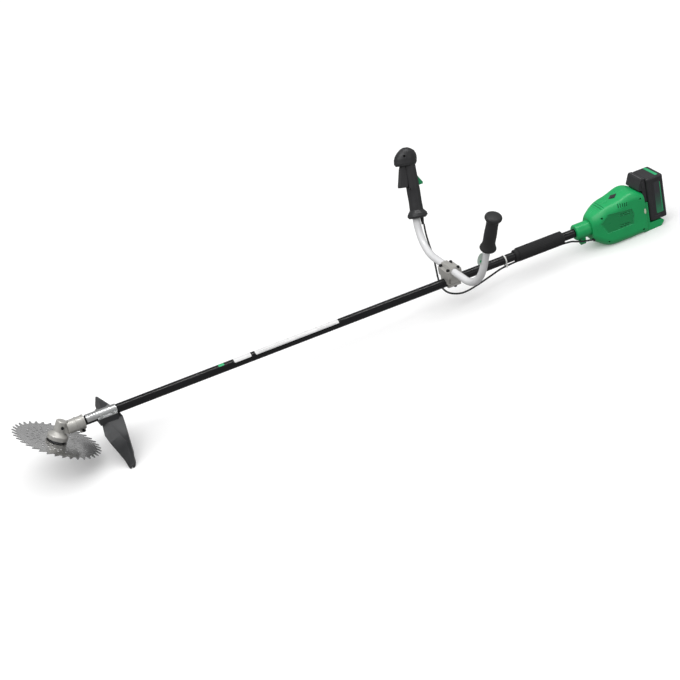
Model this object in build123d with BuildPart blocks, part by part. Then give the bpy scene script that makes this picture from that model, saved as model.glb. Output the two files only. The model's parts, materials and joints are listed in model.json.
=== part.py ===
"""Battery brush cutter: a geared cutting head on a long pipe, a handlebar and a rear motor housing.

Millimetres. The machine is drawn about its pipe: +X runs along the pipe from the blade to the motor,
+Y is the operator's right and +Z is up from the pipe. The origin of the drawing is the point where the
blade's axis crosses the pipe's axis. Each finished piece is then laid on the ground, resting on the
guard and on the flat foot under the motor housing.
"""

from build123d import *
from math import atan, atan2, cos, degrees, pi, radians, sin, tan
import os

# ---------------------------------------------------------------- driving dimensions
HEAD_ANGLE = 29.8  # between the blade's plane and the pipe
BLADE_RADIUS = 115.0
BLADE_BODY_RADIUS = 106.0
BLADE_THICKNESS = 1.8
BLADE_TEETH = 36
BLADE_DROP = 26.0  # from the crossing of the two axes down to the middle of the blade
BLADE_BORE = 12.7

PIPE_RADIUS = 12.0
PIPE_WALL = 1.5
PIPE_FRONT = 47.0
PIPE_REAR = 1540.0
SHAFT_RADIUS = 3.5
RUNNING_GAP = 0.03

OUTPUT_SHAFT_RADIUS = 4.0
GEAR_TEETH = 20
PINION_TEETH = 15
GEAR_PITCH_RADIUS = 10.5
TOOTH_LENGTH = 6.0

HANDLE_AT = 1117.0  # along the pipe
BAR_HEIGHT = 34.0
BAR_RADIUS = 10.0
BAR_WALL = 1.5
BAR_CORNER = 167.0  # half the distance between the handlebar's two corners
BAR_RISE = 71.5  # slope of the grips above the horizontal
BAR_BEND_RADIUS = 110.0
HANDLE_LEAN = 9.0  # towards the motor

SLEEVE_FRONT = 1308.0
SLEEVE_REAR = 1458.0
COLLAR_FRONT = 1496.0
HOUSING_FRONT = 1540.0
CABLE_RADIUS = 2.5

GUARD_FOOT_AT = 140.0
GUARD_FOOT_DROP = 110.0
HOUSING_FOOT_AT = 1697.0
HOUSING_FOOT_DROP = 57.0

# ---------------------------------------------------------------- planes and places
LEAN_OUT = sin(radians(HEAD_ANGLE))
LEAN_UP = cos(radians(HEAD_ANGLE))
OUTPUT = Plane(origin=(0, 0, 0), x_dir=(LEAN_UP, 0, -LEAN_OUT), z_dir=(LEAN_OUT, 0, LEAN_UP))
HANDLE = Plane(
    origin=(HANDLE_AT, 0, BAR_HEIGHT),
    x_dir=(0, 1, 0),
    z_dir=(cos(radians(HANDLE_LEAN)), 0, -sin(radians(HANDLE_LEAN))),
)
GROUND_SLOPE = (GUARD_FOOT_DROP - HOUSING_FOOT_DROP) / (HOUSING_FOOT_AT - GUARD_FOOT_AT)
GROUND_ANGLE = degrees(atan(GROUND_SLOPE))


def ground(along):
    """Height of the ground at a distance along the pipe, in the drawing."""
    return -GUARD_FOOT_DROP + (along - GUARD_FOOT_AT) * GROUND_SLOPE


def across(along):
    """Plane square to the pipe: its x is the operator's right and its y is up."""
    return Plane.YZ.offset(along)


def keep(piece, name):
    """Lay a finished piece on the ground with the rest of the machine and write it."""
    piece.part.location = ON_THE_GROUND
    piece.part.label = name
    export_step(piece.part, f"parts/{name}.step")


# The origin of the finished part: on the ground, below the middle of the machine's length and width.
LENGTH_MIDDLE = 829.4
WIDTH_MIDDLE = -0.4
ON_THE_GROUND = Location(
    (
        -LENGTH_MIDDLE * cos(radians(GROUND_ANGLE)),
        -WIDTH_MIDDLE,
        LENGTH_MIDDLE * sin(radians(GROUND_ANGLE)) - ground(LENGTH_MIDDLE) * cos(radians(GROUND_ANGLE)),
    ),
    (0, GROUND_ANGLE, 0),
)

os.makedirs("parts", exist_ok=True)


# ---------------------------------------------------------------- shared shapes
def turned(plane, angle):
    """The same plane with its x and y directions turned about its normal."""
    x_dir = plane.x_dir * cos(radians(angle)) + plane.y_dir * sin(radians(angle))
    return Plane(origin=plane.origin, x_dir=x_dir, z_dir=plane.z_dir)


def ring(plane, outer, inner, length):
    """A plain round ring standing on a plane."""
    with BuildPart() as piece:
        with BuildSketch(plane):
            Circle(outer)
            Circle(inner, mode=Mode.SUBTRACT)
        extrude(amount=length)
    return piece.part


def bearing(plane, outer, inner, width):
    """A ball bearing as one ring, with the step between its races on both faces."""
    step = width * 0.12
    groove_out = inner + (outer - inner) * 0.68
    groove_in = inner + (outer - inner) * 0.32
    with BuildPart() as piece:
        with BuildSketch(plane):
            Circle(outer)
            Circle(inner, mode=Mode.SUBTRACT)
        extrude(amount=width)
        for level in (0, width - step):
            with BuildSketch(plane.offset(level)):
                Circle(groove_out)
                Circle(groove_in, mode=Mode.SUBTRACT)
            extrude(amount=step, mode=Mode.SUBTRACT)
    return piece.part


def socket_screw(plane, shank, length, head, head_height):
    """A hexagon-socket screw: the plane is under its head, and the shank goes down from it."""
    socket = head * 0.5
    with BuildPart() as piece:
        with BuildSketch(plane):
            Circle(head)
        extrude(amount=head_height)
        chamfer(piece.edges().group_by(SortBy.LENGTH)[-1], head * 0.1)
        with BuildSketch(plane.offset(head_height * 0.45)):
            RegularPolygon(socket, 6)
        extrude(amount=head_height, mode=Mode.SUBTRACT)
        with BuildSketch(plane):
            Circle(shank)
        extrude(amount=-length)
    return piece.part


def bevel_wheel(plane, cone, teeth, first_tooth, pitch_radius, hub, bore, back):
    """A straight bevel gear whose apex is the plane's origin and whose axis is the plane's normal.

    cone is the pitch angle, first_tooth the angle of one tooth, and back the hub's depth behind the teeth.
    """
    module = 2 * pitch_radius / teeth
    reach = pitch_radius / sin(radians(cone))
    addendum = 0.9 * module
    dedendum = 1.2 * module
    half = 0.21 * pi * module
    slope = tan(radians(20))
    tip_half = half - addendum * slope
    root_half = half + dedendum * slope
    near = reach - TOOTH_LENGTH
    root_cone = radians(cone) - atan(dedendum / reach)
    root_reach = reach / cos(atan(dedendum / reach))
    outer_root = (root_reach * sin(root_cone), root_reach * cos(root_cone))
    inner_root = (outer_root[0] * near / reach, outer_root[1] * near / reach)
    with BuildPart() as piece:
        with BuildSketch(Plane(origin=plane.origin, x_dir=plane.x_dir, z_dir=-plane.y_dir)):
            Polygon(
                (bore, inner_root[1]),
                (inner_root[0], inner_root[1]),
                (outer_root[0], outer_root[1]),
                (hub, outer_root[1] + back),
                (bore, outer_root[1] + back),
                align=None,
            )
        revolve(axis=Axis(plane.origin, plane.z_dir))
        for number in range(teeth):
            here = turned(plane, first_tooth + 360 / teeth * number)
            ray = here.x_dir * sin(radians(cone)) + here.z_dir * cos(radians(cone))
            for distance in (reach, near):
                scale = distance / reach
                section = Plane(origin=plane.origin + ray * distance, x_dir=here.y_dir, z_dir=ray)
                with BuildSketch(section):
                    Polygon(
                        (-root_half * scale, dedendum * scale * 1.15),
                        (root_half * scale, dedendum * scale * 1.15),
                        (tip_half * scale, -addendum * scale),
                        (-tip_half * scale, -addendum * scale),
                        align=None,
                    )
            loft()
    return piece.part


# ---------------------------------------------------------------- cutting head: blade and its holders
BLADE_TOP = -BLADE_DROP + BLADE_THICKNESS / 2
BLADE_UNDER = -BLADE_DROP - BLADE_THICKNESS / 2
TOOTH_PITCH = 360 / BLADE_TEETH
TIP_LENGTH = 7.0
TIP_WIDTH = 1.6


def polar(radius, angle):
    """A point of the blade's plane, from its radius and angle."""
    return (radius * cos(radians(angle)), radius * sin(radians(angle)))


with BuildPart() as blade:
    outline = []
    for number in range(BLADE_TEETH):
        lead = number * TOOTH_PITCH + degrees(TIP_WIDTH / 2 / BLADE_RADIUS)
        outline.append(polar(BLADE_BODY_RADIUS - 5.0, lead - TOOTH_PITCH * 0.30))
        outline.append(polar(BLADE_BODY_RADIUS - 3.0, lead))
        outline.append(polar(BLADE_RADIUS - 0.8, lead))
        outline.append(polar(BLADE_RADIUS - 1.6, lead + TOOTH_PITCH * 0.10))
        outline.append(polar(BLADE_BODY_RADIUS, lead + TOOTH_PITCH * 0.46))
    with BuildSketch(OUTPUT.offset(BLADE_UNDER)):
        Polygon(*outline, align=None)
        Circle(BLADE_BORE, mode=Mode.SUBTRACT)
        for row, (radius, length) in enumerate(((48.0, 9.0), (62.0, 9.0), (76.0, 9.0))):
            with PolarLocations(radius, 24, start_angle=row * 7.5):
                SlotOverall(length, 4.0, mode=Mode.SUBTRACT)
        with PolarLocations(BLADE_RADIUS - TIP_LENGTH / 2, BLADE_TEETH):
            Rectangle(TIP_LENGTH, TIP_WIDTH, mode=Mode.SUBTRACT)
    extrude(amount=BLADE_THICKNESS)
keep(blade, "blade")

TIP_THICKNESS = 2.4
with BuildPart() as blade_tips:
    with BuildSketch(OUTPUT.offset(-BLADE_DROP - TIP_THICKNESS / 2)):
        with PolarLocations(BLADE_RADIUS - TIP_LENGTH / 2, BLADE_TEETH):
            Rectangle(TIP_LENGTH, TIP_WIDTH)
    extrude(amount=TIP_THICKNESS)
keep(blade_tips, "blade_tips")

HOLDER_RADIUS = 22.0
HOLDER_TOP = -17.5
with BuildPart() as blade_holder:
    with BuildSketch(OUTPUT.offset(BLADE_TOP)):
        Circle(HOLDER_RADIUS)
    extrude(amount=4.0)
    with BuildSketch(OUTPUT.offset(BLADE_TOP)):
        Circle(15.0)
    extrude(amount=HOLDER_TOP - BLADE_TOP)
    chamfer(blade_holder.edges().group_by(SortBy.LENGTH)[-1], 0.8)
    with BuildSketch(OUTPUT.offset(BLADE_UNDER + 0.2)):
        Circle(BLADE_BORE - RUNNING_GAP)
    extrude(amount=BLADE_THICKNESS)
    with BuildSketch(OUTPUT.offset(BLADE_UNDER)):
        Circle(OUTPUT_SHAFT_RADIUS)
    extrude(amount=BLADE_DROP, mode=Mode.SUBTRACT)
keep(blade_holder, "blade_holder")

FLANGE_UNDER = BLADE_UNDER - 3.0
with BuildPart() as outer_flange:
    with BuildSketch(OUTPUT.offset(FLANGE_UNDER)):
        Circle(22.0)
        Circle(OUTPUT_SHAFT_RADIUS, mode=Mode.SUBTRACT)
    extrude(amount=3.0)
    chamfer(outer_flange.edges().group_by(SortBy.LENGTH)[-1], 0.8)
keep(outer_flange, "outer_flange")

CUP_UNDER = FLANGE_UNDER - 9.0
with BuildPart() as stabiliser_cup:
    with BuildSketch(Plane(origin=(0, 0, 0), x_dir=OUTPUT.x_dir, z_dir=-OUTPUT.y_dir)):
        Polygon(
            (OUTPUT_SHAFT_RADIUS, FLANGE_UNDER),
            (20.0, FLANGE_UNDER),
            (27.0, FLANGE_UNDER - 3.5),
            (28.0, FLANGE_UNDER - 6.0),
            (22.0, CUP_UNDER),
            (15.0, CUP_UNDER),
            (15.0, CUP_UNDER + 1.8),
            (21.0, CUP_UNDER + 1.8),
            (25.5, FLANGE_UNDER - 5.5),
            (25.0, FLANGE_UNDER - 4.5),
            (19.0, FLANGE_UNDER - 1.8),
            (OUTPUT_SHAFT_RADIUS, FLANGE_UNDER - 1.8),
            align=None,
        )
    revolve(axis=Axis((0, 0, 0), OUTPUT.z_dir))
keep(stabiliser_cup, "stabiliser_cup")

BOLT_SEAT = FLANGE_UNDER - 1.8
with BuildPart() as blade_bolt:
    with BuildSketch(OUTPUT.offset(BOLT_SEAT)):
        RegularPolygon(9.0, 6)
    extrude(amount=-6.5)
    with BuildSketch(OUTPUT.offset(BOLT_SEAT)):
        Circle(12.0)
    extrude(amount=-1.5)
    with BuildSketch(OUTPUT.offset(BOLT_SEAT)):
        Circle(OUTPUT_SHAFT_RADIUS)
    extrude(amount=7.0)
keep(blade_bolt, "blade_bolt")

with BuildPart() as output_shaft:
    with BuildSketch(OUTPUT.offset(BOLT_SEAT + 7.0)):
        Circle(OUTPUT_SHAFT_RADIUS)
    extrude(amount=23.8 - BOLT_SEAT - 7.0)
    with BuildSketch(OUTPUT.offset(HOLDER_TOP)):
        Circle(OUTPUT_SHAFT_RADIUS + 2.0)
    extrude(amount=20.0 - 10.5)
keep(output_shaft, "output_shaft")

# ---------------------------------------------------------------- cutting head: gears and bearings
SHAFT_ANGLE = 90 - HEAD_ANGLE
RATIO = GEAR_TEETH / PINION_TEETH
PINION_CONE = degrees(atan2(sin(radians(SHAFT_ANGLE)), RATIO + cos(radians(SHAFT_ANGLE))))
GEAR_CONE = SHAFT_ANGLE - PINION_CONE
PINION_PITCH_RADIUS = GEAR_PITCH_RADIUS / RATIO
PINION_BORE_FRONT = 34.0
PINION_REAR = 46.0

with BuildPart() as bevel_gear:
    add(
        bevel_wheel(
            OUTPUT, GEAR_CONE, GEAR_TEETH, 180 / GEAR_TEETH, GEAR_PITCH_RADIUS, 7.0, OUTPUT_SHAFT_RADIUS, 3.0
        )
    )
keep(bevel_gear, "bevel_gear")

with BuildPart() as bevel_pinion:
    add(
        bevel_wheel(
            Plane.YZ, PINION_CONE, PINION_TEETH, 90.0, PINION_PITCH_RADIUS, 6.5, 0.01, 2.0
        )
    )
    pinion_back = bevel_pinion.part.bounding_box().max.X
    with BuildSketch(across(pinion_back - 1.0)):
        Circle(5.0)
    extrude(amount=PINION_REAR - pinion_back + 1.0)
    with BuildSketch(across(PINION_BORE_FRONT)):
        Circle(SHAFT_RADIUS)
    extrude(amount=PINION_REAR, mode=Mode.SUBTRACT)
print("pinion back", round(pinion_back, 2), "cones", round(GEAR_CONE, 2), round(PINION_CONE, 2))
keep(bevel_pinion, "bevel_pinion")

PINION_BEARING_RADIUS = 11.0
PINION_BEARINGS_FRONT = 24.0
with BuildPart() as pinion_bearings:
    add(bearing(across(PINION_BEARINGS_FRONT + 0.5), PINION_BEARING_RADIUS, 5.0 + RUNNING_GAP, 9.0))
    add(bearing(across(PINION_BEARINGS_FRONT + 11.5), PINION_BEARING_RADIUS, 5.0 + RUNNING_GAP, 9.0))
keep(pinion_bearings, "pinion_bearings")

OUTPUT_BEARING_RADIUS = 11.0
LOWER_BEARING_UNDER = -12.5
UPPER_BEARING_UNDER = 19.0
with BuildPart() as output_bearings:
    lower_bore = OUTPUT_SHAFT_RADIUS + 2.0 + RUNNING_GAP
    add(bearing(OUTPUT.offset(LOWER_BEARING_UNDER), OUTPUT_BEARING_RADIUS, lower_bore, 7.0))
    add(bearing(OUTPUT.offset(UPPER_BEARING_UNDER), 9.5, OUTPUT_SHAFT_RADIUS + RUNNING_GAP, 5.0))
keep(output_bearings, "output_bearings")

SEAL_UNDER = -15.5
with BuildPart() as output_seal:
    add(ring(OUTPUT.offset(SEAL_UNDER), OUTPUT_BEARING_RADIUS, lower_bore, 3.0))
keep(output_seal, "output_seal")

# ---------------------------------------------------------------- cutting head: cast case
NECK_RADIUS = 14.5
NECK_TOP = 21.5
BOSS_UNDER = -16.5
SKIRT_UNDER = -21.0
SKIRT_RADIUS = 26.5
SOCKET_RADIUS = 17.5
SOCKET_FRONT = 20.0
SOCKET_REAR = 66.0
GEAR_ROOM = 12.6

with BuildPart() as gear_case:
    with BuildSketch(OUTPUT.offset(SKIRT_UNDER)):
        Circle(NECK_RADIUS)
    extrude(amount=NECK_TOP - SKIRT_UNDER)
    with BuildSketch(across(SOCKET_FRONT)):
        Circle(SOCKET_RADIUS)
    extrude(amount=SOCKET_REAR - SOCKET_FRONT)
    with BuildSketch(Plane(origin=(0, 0, 0), x_dir=OUTPUT.x_dir, z_dir=-OUTPUT.y_dir)):
        with BuildLine():
            Polyline(
                (0, -1.0),
                (NECK_RADIUS, -1.0),
                (NECK_RADIUS + 2.0, -4.5),
                (SKIRT_RADIUS - 2.0, -9.5),
                (SKIRT_RADIUS, -11.5),
                (SKIRT_RADIUS, SKIRT_UNDER),
                (0, SKIRT_UNDER),
                (0, -1.0),
            )
        make_face()
    revolve(axis=Axis((0, 0, 0), OUTPUT.z_dir))
    # the web that blends the neck into the socket
    with BuildSketch(Plane.XZ):
        Polygon(
            (2.0, -2.0), (8.0, 19.0), (24.0, 12.5), (40.0, 12.0), (40.0, -13.5), (18.0, -13.5), align=None
        )
    extrude(amount=10.5, both=True)
    # the seat that the cap drops into
    with BuildSketch(OUTPUT.offset(NECK_TOP)):
        Circle(NECK_RADIUS + 0.02)
    extrude(amount=30.0, mode=Mode.SUBTRACT)
    # clamp ears under the rear of the socket
    with BuildSketch(Plane.XZ):
        Polygon((46.0, -15.0), (64.0, -15.0), (64.0, -25.0), (50.0, -25.0), align=None)
    extrude(amount=7.0, both=True)
    # raised rings round the socket
    for place in (SOCKET_REAR - 4.0, SOCKET_REAR - 22.0):
        with BuildSketch(across(place)):
            Circle(SOCKET_RADIUS + 1.2)
        extrude(amount=4.0)
    # rooms for the gears, bearings, seal and pipe
    with BuildSketch(OUTPUT.offset(-5.5)):
        Circle(7.0)
    extrude(amount=15.0, mode=Mode.SUBTRACT)
    with BuildSketch(OUTPUT.offset(7.5)):
        Circle(GEAR_ROOM)
    extrude(amount=30.0, mode=Mode.SUBTRACT)
    with BuildSketch(OUTPUT.offset(LOWER_BEARING_UNDER - 3.0)):
        Circle(OUTPUT_BEARING_RADIUS)
    extrude(amount=10.0, mode=Mode.SUBTRACT)
    with BuildSketch(OUTPUT.offset(SKIRT_UNDER)):
        Circle(SKIRT_RADIUS - 3.0)
    extrude(amount=BOSS_UNDER - SKIRT_UNDER, mode=Mode.SUBTRACT)
    with BuildSketch(OUTPUT.offset(BOSS_UNDER)):
        Circle(SKIRT_RADIUS - 3.0)
        Circle(OUTPUT_BEARING_RADIUS + 2.0, mode=Mode.SUBTRACT)
    extrude(amount=3.5, mode=Mode.SUBTRACT)
    with BuildSketch(OUTPUT.offset(BOSS_UNDER)):
        Circle(OUTPUT_BEARING_RADIUS)
    extrude(amount=1.0, mode=Mode.SUBTRACT)
    with BuildSketch(across(8.0)):
        Circle(9.0)
    extrude(amount=20.0, mode=Mode.SUBTRACT)
    with BuildSketch(across(PINION_BEARINGS_FRONT)):
        Circle(PINION_BEARING_RADIUS)
    extrude(amount=30.0, mode=Mode.SUBTRACT)
    with BuildSketch(across(PIPE_FRONT)):
        Circle(PIPE_RADIUS)
    extrude(amount=30.0, mode=Mode.SUBTRACT)
    # the slit that lets the socket close on the pipe, and the clamp screw's hole
    with BuildSketch(Plane.XZ):
        with Locations((57.0, -18.0)):
            Rectangle(30.0, 16.0)
    extrude(amount=0.8, both=True, mode=Mode.SUBTRACT)
    with BuildSketch(Plane.XZ):
        with Locations((57.5, -20.0)):
            Circle(2.0)
    extrude(amount=9.0, both=True, mode=Mode.SUBTRACT)
keep(gear_case, "gear_case")

with BuildPart() as gear_case_cap:
    with BuildSketch(OUTPUT.offset(NECK_TOP)):
        Circle(NECK_RADIUS)
    extrude(amount=6.0)
    fillet(gear_case_cap.edges().group_by(Axis(OUTPUT.origin, OUTPUT.z_dir))[-1], 3.5)
    with BuildSketch(OUTPUT.offset(UPPER_BEARING_UNDER)):
        Circle(GEAR_ROOM - 0.02)
    extrude(amount=NECK_TOP - UPPER_BEARING_UNDER)
    with BuildSketch(OUTPUT.offset(UPPER_BEARING_UNDER)):
        Circle(9.5)
    extrude(amount=5.0, mode=Mode.SUBTRACT)
keep(gear_case_cap, "gear_case_cap")

PLUG_LEVEL = 12.5
plug_face = Plane(origin=OUTPUT.origin + OUTPUT.z_dir * PLUG_LEVEL, x_dir=OUTPUT.x_dir, z_dir=(0, -1, 0))
with BuildPart() as grease_plug:
    with BuildSketch(plug_face.offset(NECK_RADIUS)):
        RegularPolygon(4.2, 6)
    extrude(amount=3.0)
keep(grease_plug, "grease_plug")

with BuildPart() as gear_case_screws:
    add(socket_screw(Plane(origin=(57.5, -7.0, -20.0), z_dir=(0, -1, 0)), 2.0, 13.0, 4.0, 4.0))
keep(gear_case_screws, "gear_case_screws")

# ---------------------------------------------------------------- pipe and drive shaft
with BuildPart() as pipe:
    add(ring(across(PIPE_FRONT), PIPE_RADIUS, PIPE_RADIUS - PIPE_WALL, PIPE_REAR - PIPE_FRONT))
keep(pipe, "pipe")

MOTOR_FRONT = 1572.0
with BuildPart() as drive_shaft:
    with BuildSketch(across(PINION_BORE_FRONT)):
        Circle(SHAFT_RADIUS)
    extrude(amount=MOTOR_FRONT - PINION_BORE_FRONT)
keep(drive_shaft, "drive_shaft")

BUSH_COUNT = 6
BUSH_LENGTH = 22.0
with BuildPart() as shaft_bushes:
    for number in range(BUSH_COUNT):
        place = PIPE_FRONT + 60.0 + (PIPE_REAR - PIPE_FRONT - 140.0) / (BUSH_COUNT - 1) * number
        add(ring(across(place), PIPE_RADIUS - PIPE_WALL, SHAFT_RADIUS + RUNNING_GAP, BUSH_LENGTH))
keep(shaft_bushes, "shaft_bushes")

# ---------------------------------------------------------------- guard over the blade
SADDLE_FRONT = 72.0
SADDLE_REAR = 153.0
SADDLE_RADIUS = 14.5
EAR_FRONT = 98.0
EAR_REAR = 150.0
EAR_OUT = 24.0
GUARD_WALL = 3.0
GUARD_BOLTS = [(108.0, 19.0), (108.0, -19.0), (140.0, 19.0), (140.0, -19.0)]

with BuildPart() as guard_saddle:
    with BuildSketch(across(SADDLE_FRONT)):
        Circle(SADDLE_RADIUS)
        Circle(PIPE_RADIUS, mode=Mode.SUBTRACT)
        with Locations((0, -SADDLE_RADIUS)):
            Rectangle(2 * SADDLE_RADIUS, 2 * SADDLE_RADIUS, mode=Mode.SUBTRACT)
    extrude(amount=SADDLE_REAR - SADDLE_FRONT)
    with BuildSketch(across(EAR_FRONT)):
        for side in (-1, 1):
            with Locations((side * (PIPE_RADIUS + EAR_OUT) / 2, 1.25)):
                Rectangle(EAR_OUT - PIPE_RADIUS, 2.5)
        Circle(PIPE_RADIUS, mode=Mode.SUBTRACT)
    extrude(amount=EAR_REAR - EAR_FRONT)
    with BuildSketch(Plane.XY):
        with Locations(*GUARD_BOLTS):
            Circle(2.6)
    extrude(amount=4.0, mode=Mode.SUBTRACT)
keep(guard_saddle, "guard_saddle")

# Each station of the guard: its distance across, then the front edge, the crease and the rear edge as
# (along, up), and the height of the skirt's lower edge.
GUARD_STATIONS = [
    (-118.0, (123.0, ground(123.0) + 1.6), (126.0, -104.0), (133.0, -102.0), ground(136.0)),
    (-112.0, (122.0, -108.0), (129.5, -95.0), (138.0, -97.0), ground(140.0)),
    (-97.0, (119.0, -92.0), (136.5, -73.0), (144.0, -80.0), ground(146.0)),
    (-82.0, (111.0, -72.0), (138.0, -50.0), (147.5, -63.0), ground(150.0)),
    (-65.0, (102.0, -50.0), (132.0, -37.5), (151.0, -46.0), ground(152.0)),
    (-45.0, (98.0, -36.0), (125.5, -26.0), (157.0, -33.0), ground(157.0)),
    (-20.0, (104.0, -20.0), (119.0, -13.5), (161.0, -15.0), ground(161.0)),
    (20.0, (110.0, -20.0), (119.0, -13.5), (160.0, -14.0), ground(160.0)),
    (45.0, (115.0, -26.0), (126.0, -12.5), (155.0, -13.0), ground(155.0)),
    (60.0, (118.0, -29.0), (129.0, -11.5), (152.0, -13.0), ground(152.0)),
    (92.0, (123.0, -32.0), (133.0, -10.0), (146.0, -13.0), -52.0),
    (120.0, (128.0, -34.0), (135.0, -10.0), (140.0, -12.0), -36.0),
]

with BuildPart() as guard:
    for distance, front, crease, rear, hem in GUARD_STATIONS:
        with BuildSketch(Plane.XZ.offset(-distance)):
            Polygon(
                front,
                crease,
                rear,
                (rear[0] + 1.5, hem),
                (rear[0] - 2.0, hem),
                (rear[0] - GUARD_WALL, rear[1] - GUARD_WALL - 0.5),
                (crease[0] + 0.5, crease[1] - GUARD_WALL - 0.5),
                (front[0] + 2.0, front[1] - 1.5),
                align=None,
            )
    loft(ruled=True)
    with BuildSketch(across(EAR_FRONT + 2.0)):
        with Locations((0, -9.0)):
            Rectangle(2 * EAR_OUT - 1.0, 17.9)
    extrude(amount=EAR_REAR - EAR_FRONT - 2.0)
    with BuildSketch(across(EAR_FRONT - 20.0)):
        Circle(PIPE_RADIUS)
    extrude(amount=120.0, mode=Mode.SUBTRACT)
    with BuildSketch(Plane.XY):
        with Locations(*GUARD_BOLTS):
            Circle(2.5)
    extrude(amount=-14.0, mode=Mode.SUBTRACT)
keep(guard, "guard")

with BuildPart() as guard_bolts:
    for along, side in GUARD_BOLTS:
        add(socket_screw(Plane(origin=(along, side, 2.5)), 2.5, 14.0, 4.25, 5.0))
keep(guard_bolts, "guard_bolts")

# ---------------------------------------------------------------- handlebar and its clamp
CLAMP_HALF_LENGTH = 22.0
CLAMP_HALF_WIDTH = 28.0
CLAMP_GAP = 0.6
CLAMP_SCREWS = [(HANDLE_AT + x, y) for x in (-15.5, 15.5) for y in (-21.0, 21.0)]
PIPE_SCREWS = [(HANDLE_AT, -18.5), (HANDLE_AT, 18.5)]
CLAMP_LUG_TOP = BAR_HEIGHT + 5.0

with BuildPart() as clamp_base:
    with BuildSketch(Plane.YZ.offset(HANDLE_AT - CLAMP_HALF_LENGTH)):
        with BuildLine():
            Polyline(
                (-24.0, 0.4),
                (24.0, 0.4),
                (24.0, 9.0),
                (CLAMP_HALF_WIDTH, 22.0),
                (CLAMP_HALF_WIDTH, BAR_HEIGHT - CLAMP_GAP / 2),
                (-CLAMP_HALF_WIDTH, BAR_HEIGHT - CLAMP_GAP / 2),
                (-CLAMP_HALF_WIDTH, 22.0),
                (-24.0, 9.0),
                (-24.0, 0.4),
            )
        make_face()
    extrude(amount=2 * CLAMP_HALF_LENGTH)
    # the waist between the bar and the pipe
    for side in (-1, 1):
        with BuildSketch(Plane.XZ.offset(-side * 17.0)):
            for end in (-1, 1):
                with Locations((HANDLE_AT + end * (CLAMP_HALF_LENGTH - 2.0), 9.0)):
                    Rectangle(14.0, 16.0)
        extrude(amount=-side * 20.0, mode=Mode.SUBTRACT)
    fillet(clamp_base.edges().filter_by(Axis.Z).group_by(Axis.Y)[0], 3.0)
    fillet(clamp_base.edges().filter_by(Axis.Z).group_by(Axis.Y)[-1], 3.0)
    with BuildSketch(across(HANDLE_AT - 40.0)):
        Circle(PIPE_RADIUS)
    extrude(amount=80.0, mode=Mode.SUBTRACT)
    with BuildSketch(Plane.XZ):
        with Locations((HANDLE_AT, BAR_HEIGHT)):
            Circle(BAR_RADIUS)
    extrude(amount=40.0, both=True, mode=Mode.SUBTRACT)
    with BuildSketch(Plane.XY.offset(BAR_HEIGHT)):
        with Locations(*CLAMP_SCREWS):
            Circle(2.5)
    extrude(amount=-18.0, mode=Mode.SUBTRACT)
    with BuildSketch(Plane.XY):
        with Locations(*PIPE_SCREWS):
            Circle(2.5)
    extrude(amount=16.0, mode=Mode.SUBTRACT)
keep(clamp_base, "clamp_base")

with BuildPart() as clamp_cap:
    with BuildSketch(Plane.XZ):
        with BuildLine():
            Polyline(
                (HANDLE_AT - CLAMP_HALF_LENGTH, BAR_HEIGHT + CLAMP_GAP / 2),
                (HANDLE_AT - CLAMP_HALF_LENGTH, CLAMP_LUG_TOP),
                (HANDLE_AT - 13.0, CLAMP_LUG_TOP),
                (HANDLE_AT - 8.0, BAR_HEIGHT + BAR_RADIUS + 2.5),
                (HANDLE_AT + 8.0, BAR_HEIGHT + BAR_RADIUS + 2.5),
                (HANDLE_AT + 13.0, CLAMP_LUG_TOP),
                (HANDLE_AT + CLAMP_HALF_LENGTH, CLAMP_LUG_TOP),
                (HANDLE_AT + CLAMP_HALF_LENGTH, BAR_HEIGHT + CLAMP_GAP / 2),
                (HANDLE_AT - CLAMP_HALF_LENGTH, BAR_HEIGHT + CLAMP_GAP / 2),
            )
        make_face()
    extrude(amount=CLAMP_HALF_WIDTH, both=True)
    # a shallow dish across the middle of the cap
    with BuildSketch(Plane.XY.offset(BAR_HEIGHT + BAR_RADIUS + 1.2)):
        for end in (-1, 1):
            with Locations((HANDLE_AT + end * 19.0, 0)):
                Rectangle(12.0, 22.0)
    extrude(amount=-5.0, mode=Mode.SUBTRACT)
    fillet(clamp_cap.edges().filter_by(Axis.Z).group_by(Axis.Y)[0], 3.5)
    fillet(clamp_cap.edges().filter_by(Axis.Z).group_by(Axis.Y)[-1], 3.5)
    with BuildSketch(Plane.XZ):
        with Locations((HANDLE_AT, BAR_HEIGHT)):
            Circle(BAR_RADIUS)
    extrude(amount=40.0, both=True, mode=Mode.SUBTRACT)
    with BuildSketch(Plane.XY.offset(BAR_HEIGHT)):
        with Locations(*CLAMP_SCREWS):
            Circle(2.6)
    extrude(amount=30.0, mode=Mode.SUBTRACT)
    # level seats for the screws' heads
    with BuildSketch(Plane.XY.offset(CLAMP_LUG_TOP)):
        with Locations(*CLAMP_SCREWS):
            Circle(4.5)
    extrude(amount=20.0, mode=Mode.SUBTRACT)
keep(clamp_cap, "clamp_cap")

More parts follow.
